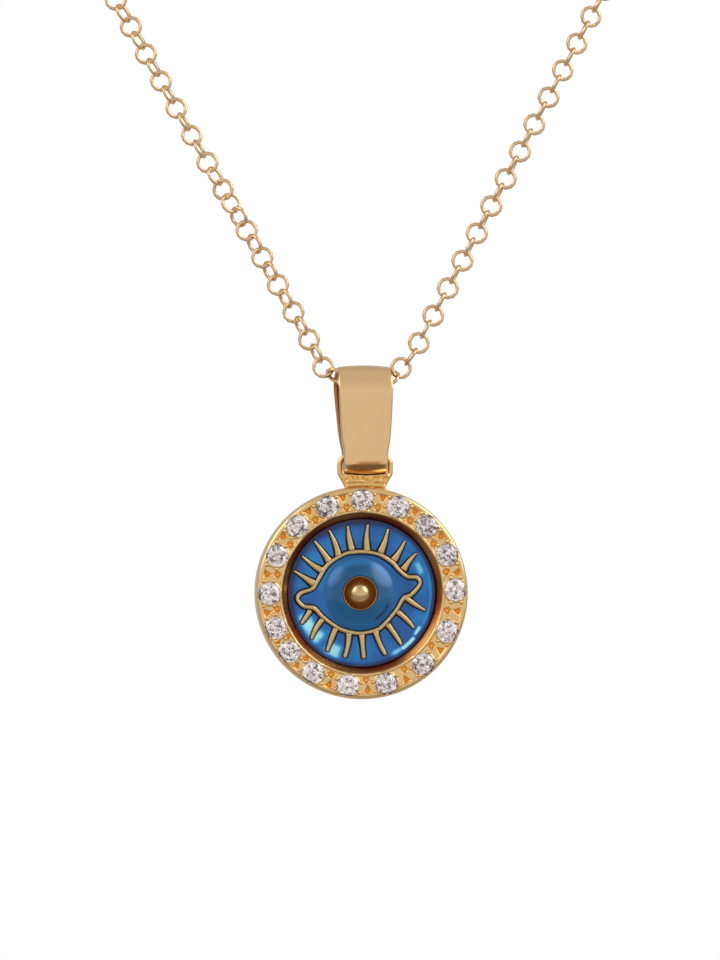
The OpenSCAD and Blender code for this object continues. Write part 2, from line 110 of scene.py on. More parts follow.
def makePiece(name, parts, material, body, nodes):
    # One object from several skins, without loose points, with its place in its mesh.
    starts = np.cumsum([0] + [len(part["points"]) for part in parts])
    points = np.concatenate([part["points"] for part in parts])
    tones = np.concatenate([part["tone"] for part in parts])
    quads = np.concatenate([part["quads"] + start for part, start in zip(parts, starts)])
    triangles = np.concatenate([part["triangles"] + start for part, start in zip(parts, starts)])
    used = np.zeros(len(points), bool)
    used[quads.reshape(-1)] = True
    used[triangles.reshape(-1)] = True
    renumber = np.cumsum(used) - 1
    faces = renumber[quads].tolist() + renumber[triangles].tolist()
    mesh = bpy.data.meshes.new(name)
    mesh.from_pydata((points[used] * mm).tolist(), [], faces)
    mesh.polygons.foreach_set("use_smooth", np.ones(len(mesh.polygons), bool))
    layer = mesh.attributes.new("tone", "FLOAT", "POINT")
    layer.data.foreach_set("value", tones[used].astype(np.float32))
    mesh.materials.append(material)
    mesh.update()
    piece = bpy.data.objects.new(name, mesh)
    bpy.context.scene.collection.objects.link(piece)
    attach(piece, body)
    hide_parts(*nodes)
    return piece


def turnSteps(count):
    # Angles in even steps round a full turn, in radians.
    return np.arange(count) * 2 * np.pi / count


def unit(vectors):
    # Each vector divided by its own length.
    return vectors / np.linalg.norm(vectors, axis=-1, keepdims=True)


def smoothStep(low, high, value):
    # 0 below low, 1 above high, and between them three times the share squared less twice its cube.
    t = np.clip((value - low) / (high - low), 0, 1)
    return t * t * (3 - 2 * t)


def window(low, high, soft, value):
    # 1 between low and high, 0 outside, with soft sides.
    return smoothStep(low - soft, low + soft, value) * (1 - smoothStep(high - soft, high + soft, value))


def smoothRoute(knots, steps, looped=False):
    # A smooth curve through its knots: each point between two knots is a cubic blend of the four
    # knots round it.
    knots = np.asarray(knots, float)
    if looped:
        padded = np.concatenate([knots[-1:], knots, knots[:2]])
    else:
        padded = np.concatenate([2 * knots[:1] - knots[1:2], knots, 2 * knots[-1:] - knots[-2:-1]])
    t = (np.arange(steps) / steps)[None, :, None]
    p0, p1, p2, p3 = (padded[i:len(padded) - 3 + i, None, :] for i in range(4))
    curve = 0.5 * (2 * p1 + (p2 - p0) * t + (2 * p0 - 5 * p1 + 4 * p2 - p3) * t ** 2
                   + (3 * p1 - p0 - 3 * p2 + p3) * t ** 3)
    curve = curve.reshape(-1, knots.shape[1])
    return curve if looped else np.concatenate([curve, knots[-1:]])


def headingsOf(path, looped):
    # The heading at each point of a path, from the point before it towards the point after it.
    if looped:
        return unit(np.roll(path, -1, axis=0) - np.roll(path, 1, axis=0))
    return unit(np.gradient(path, axis=0))


def tubeAlong(path, radius, sides, looped=False):
    # A round tube: at each point of the path a circle across the path's heading. An open tube has a
    # dome on each end, whose circles shrink with the cosine of their turn as they go out with its sine.
    heading = headingsOf(path, looped)
    radii = np.full(len(path), radius)
    if not looped:
        bow = np.radians([90, 70, 45, 20])
        path = np.concatenate([path[0] - heading[0] * radius * np.sin(bow)[:, None], path,
                               path[-1] + heading[-1] * radius * np.sin(bow)[::-1, None]])
        heading = np.concatenate([np.repeat(heading[:1], len(bow), 0), heading,
                                  np.repeat(heading[-1:], len(bow), 0)])
        radii = np.concatenate([radius * np.cos(bow), radii, radius * np.cos(bow)[::-1]])
    steady = np.array([0.0, 1.0, 0.0]) if abs(heading[:, 1]).max() < 0.9 else np.array([0.0, 0.0, 1.0])
    side = unit(np.cross(heading, steady))
    up = np.cross(side, heading)
    turn = turnSteps(sides)[None, :, None]
    ring = side[:, None] * np.cos(turn) + up[:, None] * np.sin(turn)
    points = path[:, None] + ring * radii[:, None, None]
    return gridPart(points, looped=looped, poles=(not looped, not looped))


# Materials

wearDepth = 0.02   # millimetres between the lowest and the highest of the gold's fine wear


def newMaterial(name):
    # A material with its nodes, its links and its main shader.
    material = bpy.data.materials.new(name)
    material.use_nodes = True
    nodes, links = material.node_tree.nodes, material.node_tree.links
    return material, nodes, links, nodes["Principled BSDF"]


def setInputs(node, values):
    # Each named input of a node, set to its number or colour.
    for name, value in values.items():
        node.inputs[name].default_value = value


def noiseOn(nodes, links, scale, detail=2.0, stretch=(1, 1, 1)):
    # Noise on Object coordinates, with scale in waves a metre.
    place = nodes.new("ShaderNodeTexCoord")
    shift = nodes.new("ShaderNodeMapping")
    setInputs(shift, {"Scale": stretch})
    noise = nodes.new("ShaderNodeTexNoise")
    setInputs(noise, {"Scale": scale, "Detail": detail})
    links.new(place.outputs["Object"], shift.inputs["Vector"])
    links.new(shift.outputs["Vector"], noise.inputs["Vector"])
    return noise.outputs["Fac"]


def rangeOf(nodes, links, source, low, high, fromLow=0.3, fromHigh=0.7):
    # The source's span from fromLow to fromHigh, carried in a straight line to low and high.
    span = nodes.new("ShaderNodeMapRange")
    setInputs(span, {"From Min": fromLow, "From Max": fromHigh, "To Min": low, "To Max": high})
    links.new(source, span.inputs["Value"])
    return span.outputs["Result"]


def mixColours(nodes, links, factor, first, second, blend="MIX"):
    # First at factor 0 and second at 1, or their sum for the blend ADD. Each colour is a tuple or
    # another node's output, and the factor is a number or an output.
    mix = nodes.new("ShaderNodeMix")
    mix.data_type = "RGBA"
    mix.blend_type = blend
    if isinstance(factor, float):
        mix.inputs["Factor"].default_value = factor
    else:
        links.new(factor, mix.inputs["Factor"])
    sockets = [socket for socket in mix.inputs if socket.type == "RGBA"]
    for colour, socket in zip((first, second), sockets):
        if isinstance(colour, tuple):
            socket.default_value = (*colour, 1)
        else:
            links.new(colour, socket)
    return [socket for socket in mix.outputs if socket.type == "RGBA"][0]


def attributeOf(nodes, name):
    # The number that each point of the mesh carries under this name.
    reader = nodes.new("ShaderNodeAttribute")
    reader.attribute_name = name
    return reader.outputs["Fac"]


def rampOf(nodes, links, source, stops):
    # A colour for each value of the source between the given stops of place and colour.
    ramp = nodes.new("ShaderNodeValToRGB")
    while len(ramp.color_ramp.elements) < len(stops):
        ramp.color_ramp.elements.new(0.5)
    for element, (place, _) in zip(ramp.color_ramp.elements, stops):
        element.position = place
    for element, (_, colour) in zip(ramp.color_ramp.elements, stops):
        element.color = (*colour, 1)
    links.new(source, ramp.inputs["Fac"])
    return ramp


def goldMaterial(name, finish):
    # Polished gold: its colour drifts slowly, and tone, which carries each piece's painted shade and painted
    # reflections, leads it to deep at 0.5 and dark at 1. Fine wear breaks its gloss and gives it bump.
    material, nodes, links, shader = newMaterial(name)
    drift = rangeOf(nodes, links, noiseOn(nodes, links, finish["driftScale"]), 0, 1)
    colour = mixColours(nodes, links, drift, finish["colour"], finish["warmColour"])
    tone = attributeOf(nodes, "tone")
    colour = mixColours(nodes, links, rangeOf(nodes, links, tone, 0, 1, 0, 0.5), colour, finish["deep"])
    colour = mixColours(nodes, links, rangeOf(nodes, links, tone, 0, 1, 0.5, 1), colour, finish["dark"])
    links.new(colour, shader.inputs["Base Color"])
    wear = noiseOn(nodes, links, finish["wearScale"], 4.0, finish["wearStretch"])
    links.new(rangeOf(nodes, links, wear, *finish["roughness"]), shader.inputs["Roughness"])
    setInputs(shader, {"Metallic": 1.0})
    bump = nodes.new("ShaderNodeBump")
    setInputs(bump, {"Strength": finish["bump"], "Distance": wearDepth * mm})
    links.new(wear, bump.inputs["Height"])
    links.new(bump.outputs["Normal"], shader.inputs["Normal"])
    return material


# The chain: round links in turn face-on and edge-on along the route of the two halves. Side 1 is the
# right half and side -1 the left one.

chainLook = {
    "linkOuter": 1.3, "wire": 0.22, "pitch": 0.902,                                 # millimetres
    "linkSides": 12, "wireSides": 5, "knotSteps": 12,                               # counts
    "headingReach": 0.2, "turnFrom": 90,                                            # millimetres
    "openRoll": {1: -2, -1: 8}, "closedRoll": {1: 96, -1: 68},                      # degrees
    "rollDrift": {1: 6, -1: 10}, "rollWave": 5, "rollStart": 1.5,                   # degrees, links, radians
    "twist": {1: 0, -1: -76}, "twistFrom": (12, 20), "twistBack": (60, 90),         # degrees, link numbers
    "sway": {1: 0, -1: 0.3}, "swayFrom": (-133, -117), "swayBack": (-110, -80),     # outwards, heights in mm
    "finish": {
        "colour": (0.88, 0.61, 0.34), "warmColour": (0.82, 0.52, 0.27),
        "deep": (0.6, 0.3, 0.1), "dark": (0.2, 0.08, 0.03), "driftScale": 900.0,
        "wearScale": 9000.0, "wearStretch": (1, 1, 1), "roughness": (0.1, 0.2), "bump": 0.05,
    },
}
claspLook = {   # millimetres
    "barrel": 2.6, "eyeWire": 0.4, "eyeBore": 1.0, "leadIn": (2, -0.05),
    "grooveHalf": 0.3, "grooveSide": 0.05, "grooveDepth": 0.06,
    "barrelSides": 40, "eyeSides": 28, "wireSides": 12,
}
nearLinks = {   # links at the bail on each side: number, x outwards, z, and roll in degrees
    1: [(0, -0.2, -135, 56), (1, 0.6, -135, -34), (2, 1.41, -134.79, 56), (3, 2.06, -134.2, -6)],
    -1: [(1, 1.0, -134.98, -32), (2, 1.67, -134.63, 60), (3, 2.39, -134.16, -5)],
}
chainRoute = [   # right half, millimetres, from above the bail to the clasp
    (2.7, -103.85, -133.5), (3.4, -103.7, -132.2), (4.2, -103.5, -130.75),
    (6.5, -103, -126.5), (11.1, -101.8, -118), (15.7, -100.2, -109.5), (20.3, -98.2, -101),
    (24.9, -95.7, -92.5), (29.5, -92.7, -84), (34.1, -89.2, -75.5), (38.7, -85.2, -67),
    (42, -82, -61), (45, -78.8, -55.5), (48, -75.5, -50.5), (50.5, -72, -45.5), (53, -68, -40.5),
    (55, -63.5, -36), (56.5, -58.5, -31.5), (57, -53, -27.5), (57, -47.5, -23.5), (56.5, -41.5, -20),
    (55, -36, -16.5), (53, -30, -13.5), (50.5, -25, -10.5), (46.5, -19.5, -8), (42.5, -14.5, -6),
    (37.5, -10.5, -4), (32, -7, -2.5), (26, -4, -1.5), (19.5, -1.5, -0.5), (13, -0.5, 0)]


def halfRoute(side):
    # One half as a smooth curve, from the other half's first link to the middle of the last link, which
    # hangs in the clasp's eye. A stretch of it sways outwards.
    look = chainLook
    lastX = claspEnd - claspLook["eyeWire"] + look["linkOuter"] / 2 - look["wire"]
    leadX, leadY = claspLook["leadIn"]
    other = nearLinks[-side][0]
    knots = [(-other[1], bailBar[1], other[2])] + [(x, bailBar[1], z) for _, x, z, _ in nearLinks[side]]
    knots += chainRoute + [(lastX + leadX, leadY, 0), (lastX, 0, 0)]
    curve = smoothRoute(knots, look["knotSteps"])
    z = curve[:, 2]
    swayed = smoothStep(*look["swayFrom"], z) * (1 - smoothStep(*look["swayBack"], z))
    curve[:, 0] += look["sway"][side] * swayed
    return curve * np.array([side, 1, 1])


def alongRoute(curve, total, distances):
    # Places at the given distances along a curve, and headings from a little behind to a little ahead.
    reach = chainLook["headingReach"]
    spots, ahead, behind = (
        np.stack([np.interp(distances + step, total, curve[:, k]) for k in range(3)], axis=-1)
        for step in (0, reach, -reach))
    return spots, unit(ahead - behind)


def chainLinks(side):
    # The centres, headings and reaches of one half's links, counted outwards from the bail. The first
    # ones stand at their knots, the others at even steps along the route. A link's roll goes from open
    # to closed and back, with a slow wave and one twisted stretch.
    look = chainLook
    curve = halfRoute(side)
    total = np.concatenate([[0], np.cumsum(np.linalg.norm(np.diff(curve, axis=0), axis=1))])
    near = np.array(nearLinks[side], float)
    nearAt = total[look["knotSteps"] * (1 + np.arange(len(near)))]
    steps = 2 * round((total[-1] - nearAt[-1]) / look["pitch"] / 2 - 0.5) + 1   # odd, so it ends edge-on
    distance = np.concatenate([nearAt, np.linspace(nearAt[-1], total[-1], steps + 1)[1:]])
    number = near[0, 0] + np.arange(len(distance))
    spots, heading = alongRoute(curve, total, distance)
    turn = np.pi * smoothStep(look["turnFrom"], total[-1], distance) * side   # outwards round the neck
    front = np.stack([np.sin(turn), -np.cos(turn), np.zeros_like(turn)], axis=-1)
    front = unit(front - heading * (front * heading).sum(axis=-1, keepdims=True))
    roll = np.where(number % 2 == 1, look["openRoll"][side], look["closedRoll"][side])
    roll = roll + np.sin(number / look["rollWave"] - side * look["rollStart"]) * look["rollDrift"][side]
    twisted = smoothStep(*look["twistFrom"], number) * (1 - smoothStep(*look["twistBack"], number))
    roll = roll + look["twist"][side] * twisted
    roll[:len(near)] = near[:, 3]
    roll[-1] = 90
    roll = np.radians(roll)[:, None]
    reach = np.cross(heading, front) * np.cos(roll) + front * np.sin(roll)
    return spots, heading, reach


def chainPiece(side, node, material):
    # Each link is a ring: its wire runs round the centre in the plane of heading and reach.
    look = chainLook
    ringR = (look["linkOuter"] - look["wire"]) / 2
    spots, heading, reach = chainLinks(side)
    normal = np.cross(heading, reach)[:, None, None]
    u = turnSteps(look["linkSides"])[None, :, None]
    v = turnSteps(look["wireSides"])[None, None, :, None]
    ring = heading[:, None] * np.cos(u) + reach[:, None] * np.sin(u)
    outwards = ring[:, :, None] * np.cos(v) + normal * np.sin(v)
    points = spots[:, None, None] + ring[:, :, None] * ringR + outwards * look["wire"] / 2
    link = gridPart(points[0], looped=True)
    parts = [copiesOf(link, points.reshape(len(spots), -1, 3))]
    print("scene:", node, "has", len(spots), "links")
    return makePiece(node.replace("chain", "links"), parts, material, "root", [node])


def claspPiece(material):
    # A plain closed barrel, its profile of radius against length turned round X, with a shallow groove
    # round its middle and an eye at each end. An eye is a ring of wire.
    look = claspLook
    eyeR = (look["eyeBore"] + look["eyeWire"]) / 2
    eyeX = claspEnd - eyeR - look["eyeWire"] / 2
    half = eyeX - eyeR
    full = look["barrel"] / 2
    groove = look["grooveHalf"] + look["grooveSide"] * np.array([1, 0, -1])
    bow = np.radians(np.linspace(90, 0, 12))
    length = np.concatenate([half - full + full * np.sin(bow), [half / 2, half / 4], groove, [0]])
    radius = np.concatenate([full * np.cos(bow), full - look["grooveDepth"] * np.array([0, 0, 0, 1, 1, 1])])
    radius[1:] = np.maximum(radius[1:], look["eyeWire"])   # the end is flat where the eye is soldered on
    length = np.concatenate([length, -length[-2::-1]])[:, None]
    radius = np.concatenate([radius, radius[-2::-1]])[:, None]
    turn = turnSteps(look["barrelSides"])
    points = np.stack([length + 0 * turn, radius * np.cos(turn), radius * np.sin(turn)], axis=-1)
    parts = [gridPart(points, poles=(True, True))]
    around = turnSteps(look["eyeSides"])
    for side in (-1, 1):
        ring = np.stack([side * eyeX + eyeR * np.cos(around), 0 * around, eyeR * np.sin(around)], axis=-1)
        parts.append(tubeAlong(ring, look["eyeWire"] / 2, look["wireSides"], looped=True))
    return makePiece("clasp_barrel", parts, material, "root", ["clasp"])


# The bail: a folded strap with a slightly domed face

bailLook = {
    "crownR": 1.5, "footR": 0.85, "strap": 0.4, "voidR": 0.33, "footRise": 1.12,   # the fold, millimetres
    "crownRows": 40, "footRows": 32, "sideRows": 20,
    "tipHalf": 1.24, "tipR": 0.13, "lean": -0.08, "skew": 0.09, "leanHeight": 5.2,
    "dome": 0.1, "edgeR": 0.09, "edgeColumns": 6, "faceColumns": 13,
    # painted dark reflection: a lens of deeper tone across the strap's face above the foot
    "paintedReflectionHalf": 1.16, "paintedReflectionRise": 0.27, "paintedReflectionZ": -0.6, "paintedReflectionTilt": 0.05,   # a lens above the foot
    "paintedReflectionEdge": (0.03, -0.07), "paintedReflectionTone": 0.72,
    # the foot's bottom a little deeper; insideTone is painted shade over the strap's inner face
    "footEdge": (-1.0, -1.08), "footTone": 0.1, "insideTone": 0.7,
    "finish": {
        "colour": (0.88, 0.59, 0.3), "warmColour": (0.86, 0.56, 0.27),
        # deep and dark: the painted dark reflection above the foot and the painted shade inside the fold
        "deep": (0.6, 0.3, 0.1), "dark": (0.2, 0.08, 0.03), "driftScale": 350.0,
        "wearScale": 7000.0, "wearStretch": (1, 1, 0.2), "roughness": (0.13, 0.2), "bump": 0.03,
    },
}
bailHalves = [   # height over the loop's bar, half the strap's width there
    (-0.99, 1.24), (-0.8, 1.255), (-0.65, 1.26), (-0.3, 1.26), (0.1, 1.26), (0.4, 1.3), (0.8, 1.37),
    (1.5, 1.44), (2.6, 1.5), (3.6, 1.54), (4.4, 1.55), (5.21, 1.51)]


def foldLine(upperR, lowerR, upperZ, lowerZ):
    # Side view of the fold: an arc over the top, a straight run, an arc under the foot and a straight
    # run back, as (y, z) rows with z from the bar. Both outlines have the same count of rows.
    look = bailLook
    lean = math.asin((lowerR - upperR) / (upperZ - lowerZ))
    top = np.linspace(lean, np.pi - lean, look["crownRows"])
    foot = np.linspace(np.pi - lean, 2 * np.pi + lean, look["footRows"])
    over = np.stack([-upperR * np.cos(top), upperZ + upperR * np.sin(top)], axis=-1)
    under = np.stack([-lowerR * np.cos(foot), lowerZ + lowerR * np.sin(foot)], axis=-1)
    share = np.linspace(0, 1, look["sideRows"] + 2)[1:-1, None]
    down = over[-1] * (1 - share) + under[0] * share
    back = under[-1] * (1 - share) + over[0] * share
    return np.concatenate([over, down, under, back])


def bailHalfWidth(z):
    # Half the strap's width at a height over the bar: the smooth outline, with round corners at the tip.
    look = bailLook
    outline = smoothRoute(bailHalves, 8)
    drop = np.clip(look["tipR"] - look["footRise"] - z, 0, look["tipR"])
    corner = look["tipHalf"] - look["tipR"] + np.sqrt(look["tipR"] ** 2 - drop ** 2)
    return np.where(drop > 0, corner, np.interp(z, outline[:, 0], outline[:, 1]))


def bailPiece(material):
    # Rows run round the fold and columns round the strap's section: a face, two corners, the inner face
    # and two corners. Share goes across from 1 to -1, and bend turns round a corner from its side at 0 to
    # the face at 90 degrees. The outer face bows outwards by dome times one minus the share squared.
    look = bailLook
    crownZ = bailTop - swingBar[2] - look["crownR"]
    outer = foldLine(look["crownR"], look["footR"], crownZ, look["footR"] - look["footRise"])
    inner = foldLine(look["crownR"] - look["strap"], look["voidR"], crownZ, 0.0)
    depth = np.linalg.norm(inner - outer, axis=1, keepdims=True)
    inwards = ((inner - outer) / depth)[:, None]
    outer = outer[:, None]

    ones = np.ones(look["edgeColumns"])
    face = np.linspace(1, -1, look["faceColumns"] + 2)[1:-1]
    bow = np.radians(np.linspace(0, 90, look["edgeColumns"]))
    flat = np.full(len(face), np.pi / 2)
    share = np.concatenate([ones, face, -ones, -ones, -face, ones])
    bend = np.concatenate([bow, flat, bow[::-1], bow, flat, bow[::-1]])
    isInside = np.arange(len(share)) >= len(share) // 2

    inset = look["edgeR"] * (1 - np.sin(bend))
    sunk = np.where(isInside, depth - inset, inset)[..., None]
    half = bailHalfWidth(np.where(isInside, inner[:, 1:], (outer + inwards * sunk)[..., 1]))
    x = share * (half - look["edgeR"] + look["edgeR"] * np.cos(bend))
    sunk = sunk + (look["dome"] * (x / half) ** 2 * ~isInside)[..., None]
    y, z = np.moveaxis(outer + inwards * sunk, -1, 0)
    x = x + (look["lean"] - look["skew"] * np.maximum(y, 0)) * np.maximum(z, 0) / look["leanHeight"]

    # tone: a painted dark reflection in a lens above the foot, and a little deeper at the foot's bottom
    lens = look["paintedReflectionRise"] * np.sqrt(np.clip(1 - (x / look["paintedReflectionHalf"]) ** 2, 0, 1))
    fromLens = np.abs(z - look["paintedReflectionZ"] - look["paintedReflectionTilt"] * x) - lens
    paintedDarkening = look["paintedReflectionTone"] * smoothStep(*look["paintedReflectionEdge"], fromLens)
    paintedDarkening = paintedDarkening + look["footTone"] * smoothStep(*look["footEdge"], z)
    # painted shade over the whole inner face
    tone = np.clip(np.where(isInside, look["insideTone"], paintedDarkening), 0, 1)
    part = gridPart(np.stack([x, y, z], axis=-1) + swingBar, looped=True, tone=tone)
    return makePiece("bail_strap", [part], material, "bail", ["bail"])


# The setting: back, wall, stone channel with its cut pockets, sloped lip, grains and loop

settingLook = {   # millimetres, with heights over the flat back
    "discR": 6.05, "thick": 2.0, "back": 0.6, "backRows": (0, 2, 4, 5.2), "edgeR": 0.25,
    "border": 0.3, "channel": 0.08, "rimW": 0.1, "rimSoft": 0.03,
    "lipW": 0.35, "lipOver": 0.22, "lipZ": 1.6, "lipEdge": 0.06, "cupR": 4.5,
    "columns": 960, "channelRows": 50, "edgeRows": 6,
    "grainR": 0.12, "grainReach": 0.76, "grainTurns": (68, 112), "grainRise": 0.04, "grainSides": 10,
    "loopWire": 0.3, "loopHalf": 1.45, "loopBend": 0.45, "loopSides": 16,
    "ridges": ((-1.6, 0.14, 1.02), (-1.86, 0.13, 1.12)),   # z from the bar, radius, reach to each side
    "finish": {
        "colour": (0.86, 0.59, 0.27), "warmColour": (0.85, 0.55, 0.23),
        # deep and dark: the painted shade in the pockets, on the saddle and down the lip
        "deep": (0.95, 0.56, 0.17), "dark": (0.27, 0.042, 0.01), "driftScale": 800.0,
        "wearScale": 9000.0, "wearStretch": (1, 1, 1), "roughness": (0.14, 0.26), "bump": 0.06,
    },
}
pocketLook = {   # millimetres; least is the size against the full one where two stones nearly touch
    "roomFrom": 1.36, "roomSpan": 0.65, "drift": 0.09, "depth": 0.2, "wall": (0.01, -0.15),
    "corner": 0.48, "cornerLeast": 0.55, "cornerGap": 0.05, "cornerFlare": 0.52, "cornerSlant": 0.89,
    "round": 0.2, "roundLeast": 0.6, "roundGap": 0.03, "roundStretch": 1.05,
    "edgeRise": 0.025, "edgeAt": 0.035, "edgeSoft": 0.022,
    # painted shade in the pockets: tone on their walls, floorPaler takes some off their floors
    "tone": 0.46, "toneWall": (0.01, -0.05), "floorPaler": 0.3,
}
stoneLook = {   # millimetres
    "girdleR": 0.65, "ringR": 5.34, "seatSlope": 0.846, "seatEdge": 0.05, "seatDrop": 0.03,
    "seatRoom": 0.02, "seatLeast": 0.06, "collar": 0.05, "collarSpan": (0.11, 0.01),
    # a lighter ring round each stone, where the painted pocket shade is held at most brightTone
    "brightEdge": 0.03, "brightTone": 0.1,
    "cells": 7600.0, "shader": {"Roughness": 0.0, "IOR": 2.2, "Transmission Weight": 1.0},
    # painted flashes of reflected light in the stones, one colour for each cell
    "flashes": ((0, (0.05, 0.03, 0.03)), (0.16, (0.6, 0.45, 0.42)), (0.3, (0.98, 0.84, 0.8)),
                (0.62, (1.0, 0.97, 0.95))),
}
saddleLook = {   # millimetres, with z from the loop's bar
    "thick": 0.9, "foot": -2.1, "hollow": 1.15, "narrowing": 0.075, "legReach": 1.42, "bailHalf": 1.2,
    # tone, waveTone and mostTone: a deeper front, with painted shade in the ripples' troughs and painted
    # light on their crests
    "mostAside": 1.1, "waveRise": 0.045, "lumpRise": 0.03, "tone": 0.28, "waveTone": 0.45, "mostTone": 0.7,
    "topColumns": 9, "sideColumns": 18, "rows": 59,
}
# the lip's tone is painted shade
lipRows = [   # share of the way down the lip, and tone: 0 gold, 0.5 orange, 1 dark brown
    (0.05, 0.0), (0.09, 0.1), (0.13, 0.92), (0.2, 0.82), (0.28, 1.0), (0.36, 0.86), (0.43, 0.97),
    (0.52, 0.88), (0.6, 1.0), (0.68, 0.92), (0.78, 1.0), (0.9, 1.0)]
legRows = [   # the loop's leg: x from the middle, z from the bar
    (1.45, -0.62), (1.45, -0.84), (1.435, -0.97), (1.37, -1.1), (1.28, -1.24), (1.17, -1.44), (1.04, -1.7),
    (0.9, -1.98)]
lipR = settingLook["cupR"] - settingLook["lipOver"]
rimR = lipR + settingLook["lipW"]


def onDisc(radius, angle, height):
    # A place on the pendant as seen from the front: polar round the glass, height above the flat back.
    return np.stack([discMiddle[0] + radius * np.cos(angle), backY - height,
                     discMiddle[2] + radius * np.sin(angle)], axis=-1)


def stoneAngles():
    # The stones' angles round the glass, in rising order.
    away = stoneMiddles - discMiddle
    return np.sort(np.arctan2(away[:, 2], away[:, 0]))


def pocketHollow(number, a, b, radius, angle, inner, outer):
    # How far each place lies outside the two pockets between the stones at angles a and b, and less than
    # zero inside them: a triangle at the border whose sides flare outwards, and a round one at the rim.
    # Both shrink where the stones stand close.
    look = pocketLook
    chord = 2 * stoneLook["ringR"] * math.sin((b - a) / 2)
    share = min(1.0, (chord - look["roomFrom"]) / look["roomSpan"])
    along = radius * np.cos(angle - (a + b) / 2)
    aside = radius * np.sin(angle - (a + b) / 2)
    drift = look["drift"] * math.sin(2.1 * number + 0.6) * share
    size = look["corner"] * (look["cornerLeast"] + (1 - look["cornerLeast"]) * share)
    top = outer - look["cornerGap"]
    flare = (along - top + size) * look["cornerFlare"]
    corner = np.maximum(along - top, (np.abs(aside - drift) - flare) * look["cornerSlant"])
    small = look["round"] * (look["roundLeast"] + (1 - look["roundLeast"]) * share)
    drop = np.hypot(aside + drift, (along - inner - look["roundGap"] - small) / look["roundStretch"]) - small
    return np.minimum(corner, drop)


def channelHeight(radius, angle):
    # Height and tone of the stone face: a channel between two rims, with a seat under each stone, a low
    # collar round it and the pockets in each gap. A pocket is cut by how far a place lies inside its
    # outline, with a small bright edge round it. Its tone is painted shade on the pockets' walls, less on
    # their floors, and held low round each stone.
    look, cutLook, stone = settingLook, pocketLook, stoneLook
    inner, outer = rimR + look["rimW"], look["discR"] - look["border"]
    soft = look["rimSoft"]
    rims = np.maximum(1 - smoothStep(inner - soft, inner + soft, radius),
                      smoothStep(outer - soft, outer + soft, radius))
    floor = look["thick"] - look["channel"]
    height = floor + look["channel"] * rims
    angles = stoneAngles()
    x, z = radius * np.cos(angle), radius * np.sin(angle)
    near = np.full(radius.shape, look["discR"])
    tone = np.zeros(radius.shape)
    for i, (a, b) in enumerate(zip(angles, [*angles[1:], angles[0] + 2 * np.pi])):
        near = np.minimum(near, np.hypot(x - stone["ringR"] * np.cos(a), z - stone["ringR"] * np.sin(a)))
        hollow = pocketHollow(i, a, b, radius, angle, inner, outer)
        cut = smoothStep(*cutLook["wall"], hollow)
        edge = np.exp(-((hollow - cutLook["edgeAt"]) / cutLook["edgeSoft"]) ** 2)
        height = height - cutLook["depth"] * cut + cutLook["edgeRise"] * edge
        shade = 1 - cutLook["floorPaler"] * smoothStep(0.7, 1, cut)
        tone = np.maximum(tone, cutLook["tone"] * smoothStep(*cutLook["toneWall"], hollow) * shade)
    girdle, seatR = stone["girdleR"], stone["girdleR"] - stone["seatEdge"]
    far, close = stone["collarSpan"]
    height = height + stone["collar"] * smoothStep(girdle + far, girdle + close, near) * (near > seatR)
    seat = floor - stone["seatDrop"] - (girdle - stone["seatRoom"] - near) * stone["seatSlope"]
    height = np.where(near < seatR, np.minimum(seat, floor - stone["seatLeast"]), height)
    # the painted pocket shade held low round each stone
    bright = np.minimum(tone, stone["brightTone"])
    return height, np.where(near < girdle + stone["brightEdge"], bright, tone)


def grainPlaces():
    # Flat places of the grains: in each gap two beside each stone, at one reach and two turns from it.
    # Twins nearer than a grain's width become one grain midway.
    look = settingLook
    angles = stoneAngles()
    turns = np.radians(look["grainTurns"])[:, None]

    def besides(a, turn):
        # The stone's own place and, from there, a step of one reach at the given turn.
        steps = [stoneLook["ringR"] * way(a) + look["grainReach"] * way(a + turn) for way in (np.cos, np.sin)]
        return np.stack(steps, axis=-1).reshape(-1, 2)

    first, second = besides(angles, turns), besides(np.roll(angles, -1), -turns)
    close = np.linalg.norm(first - second, axis=1) < 2 * look["grainR"]
    return np.concatenate([first[~close], second[~close], (first[close] + second[close]) / 2])


def grainsPart():
    # The grains: low domes turned from an arc of four rows, with a foot sunk into the stone face.
    look = settingLook
    bow = np.radians([0, 30, 60, 90])[:, None]
    turn = turnSteps(look["grainSides"])
    dome = np.stack([np.cos(bow) * np.cos(turn), np.cos(bow) * np.sin(turn), np.sin(bow) + 0 * turn], axis=-1)
    dome = np.concatenate([dome[:1] - [0, 0, 1.2], dome])
    flat = dome.reshape(-1, 3) * look["grainR"]
    places = grainPlaces()
    level = backY - look["thick"] + look["grainRise"]
    middles = np.stack([discMiddle[0] + places[:, 0], np.full(len(places), level),
                        discMiddle[2] + places[:, 1]], axis=-1)
    domes = middles[:, None] + np.stack([flat[:, 0], -flat[:, 2], flat[:, 1]], axis=-1)
    return copiesOf(gridPart(dome, poles=(False, True)), domes)


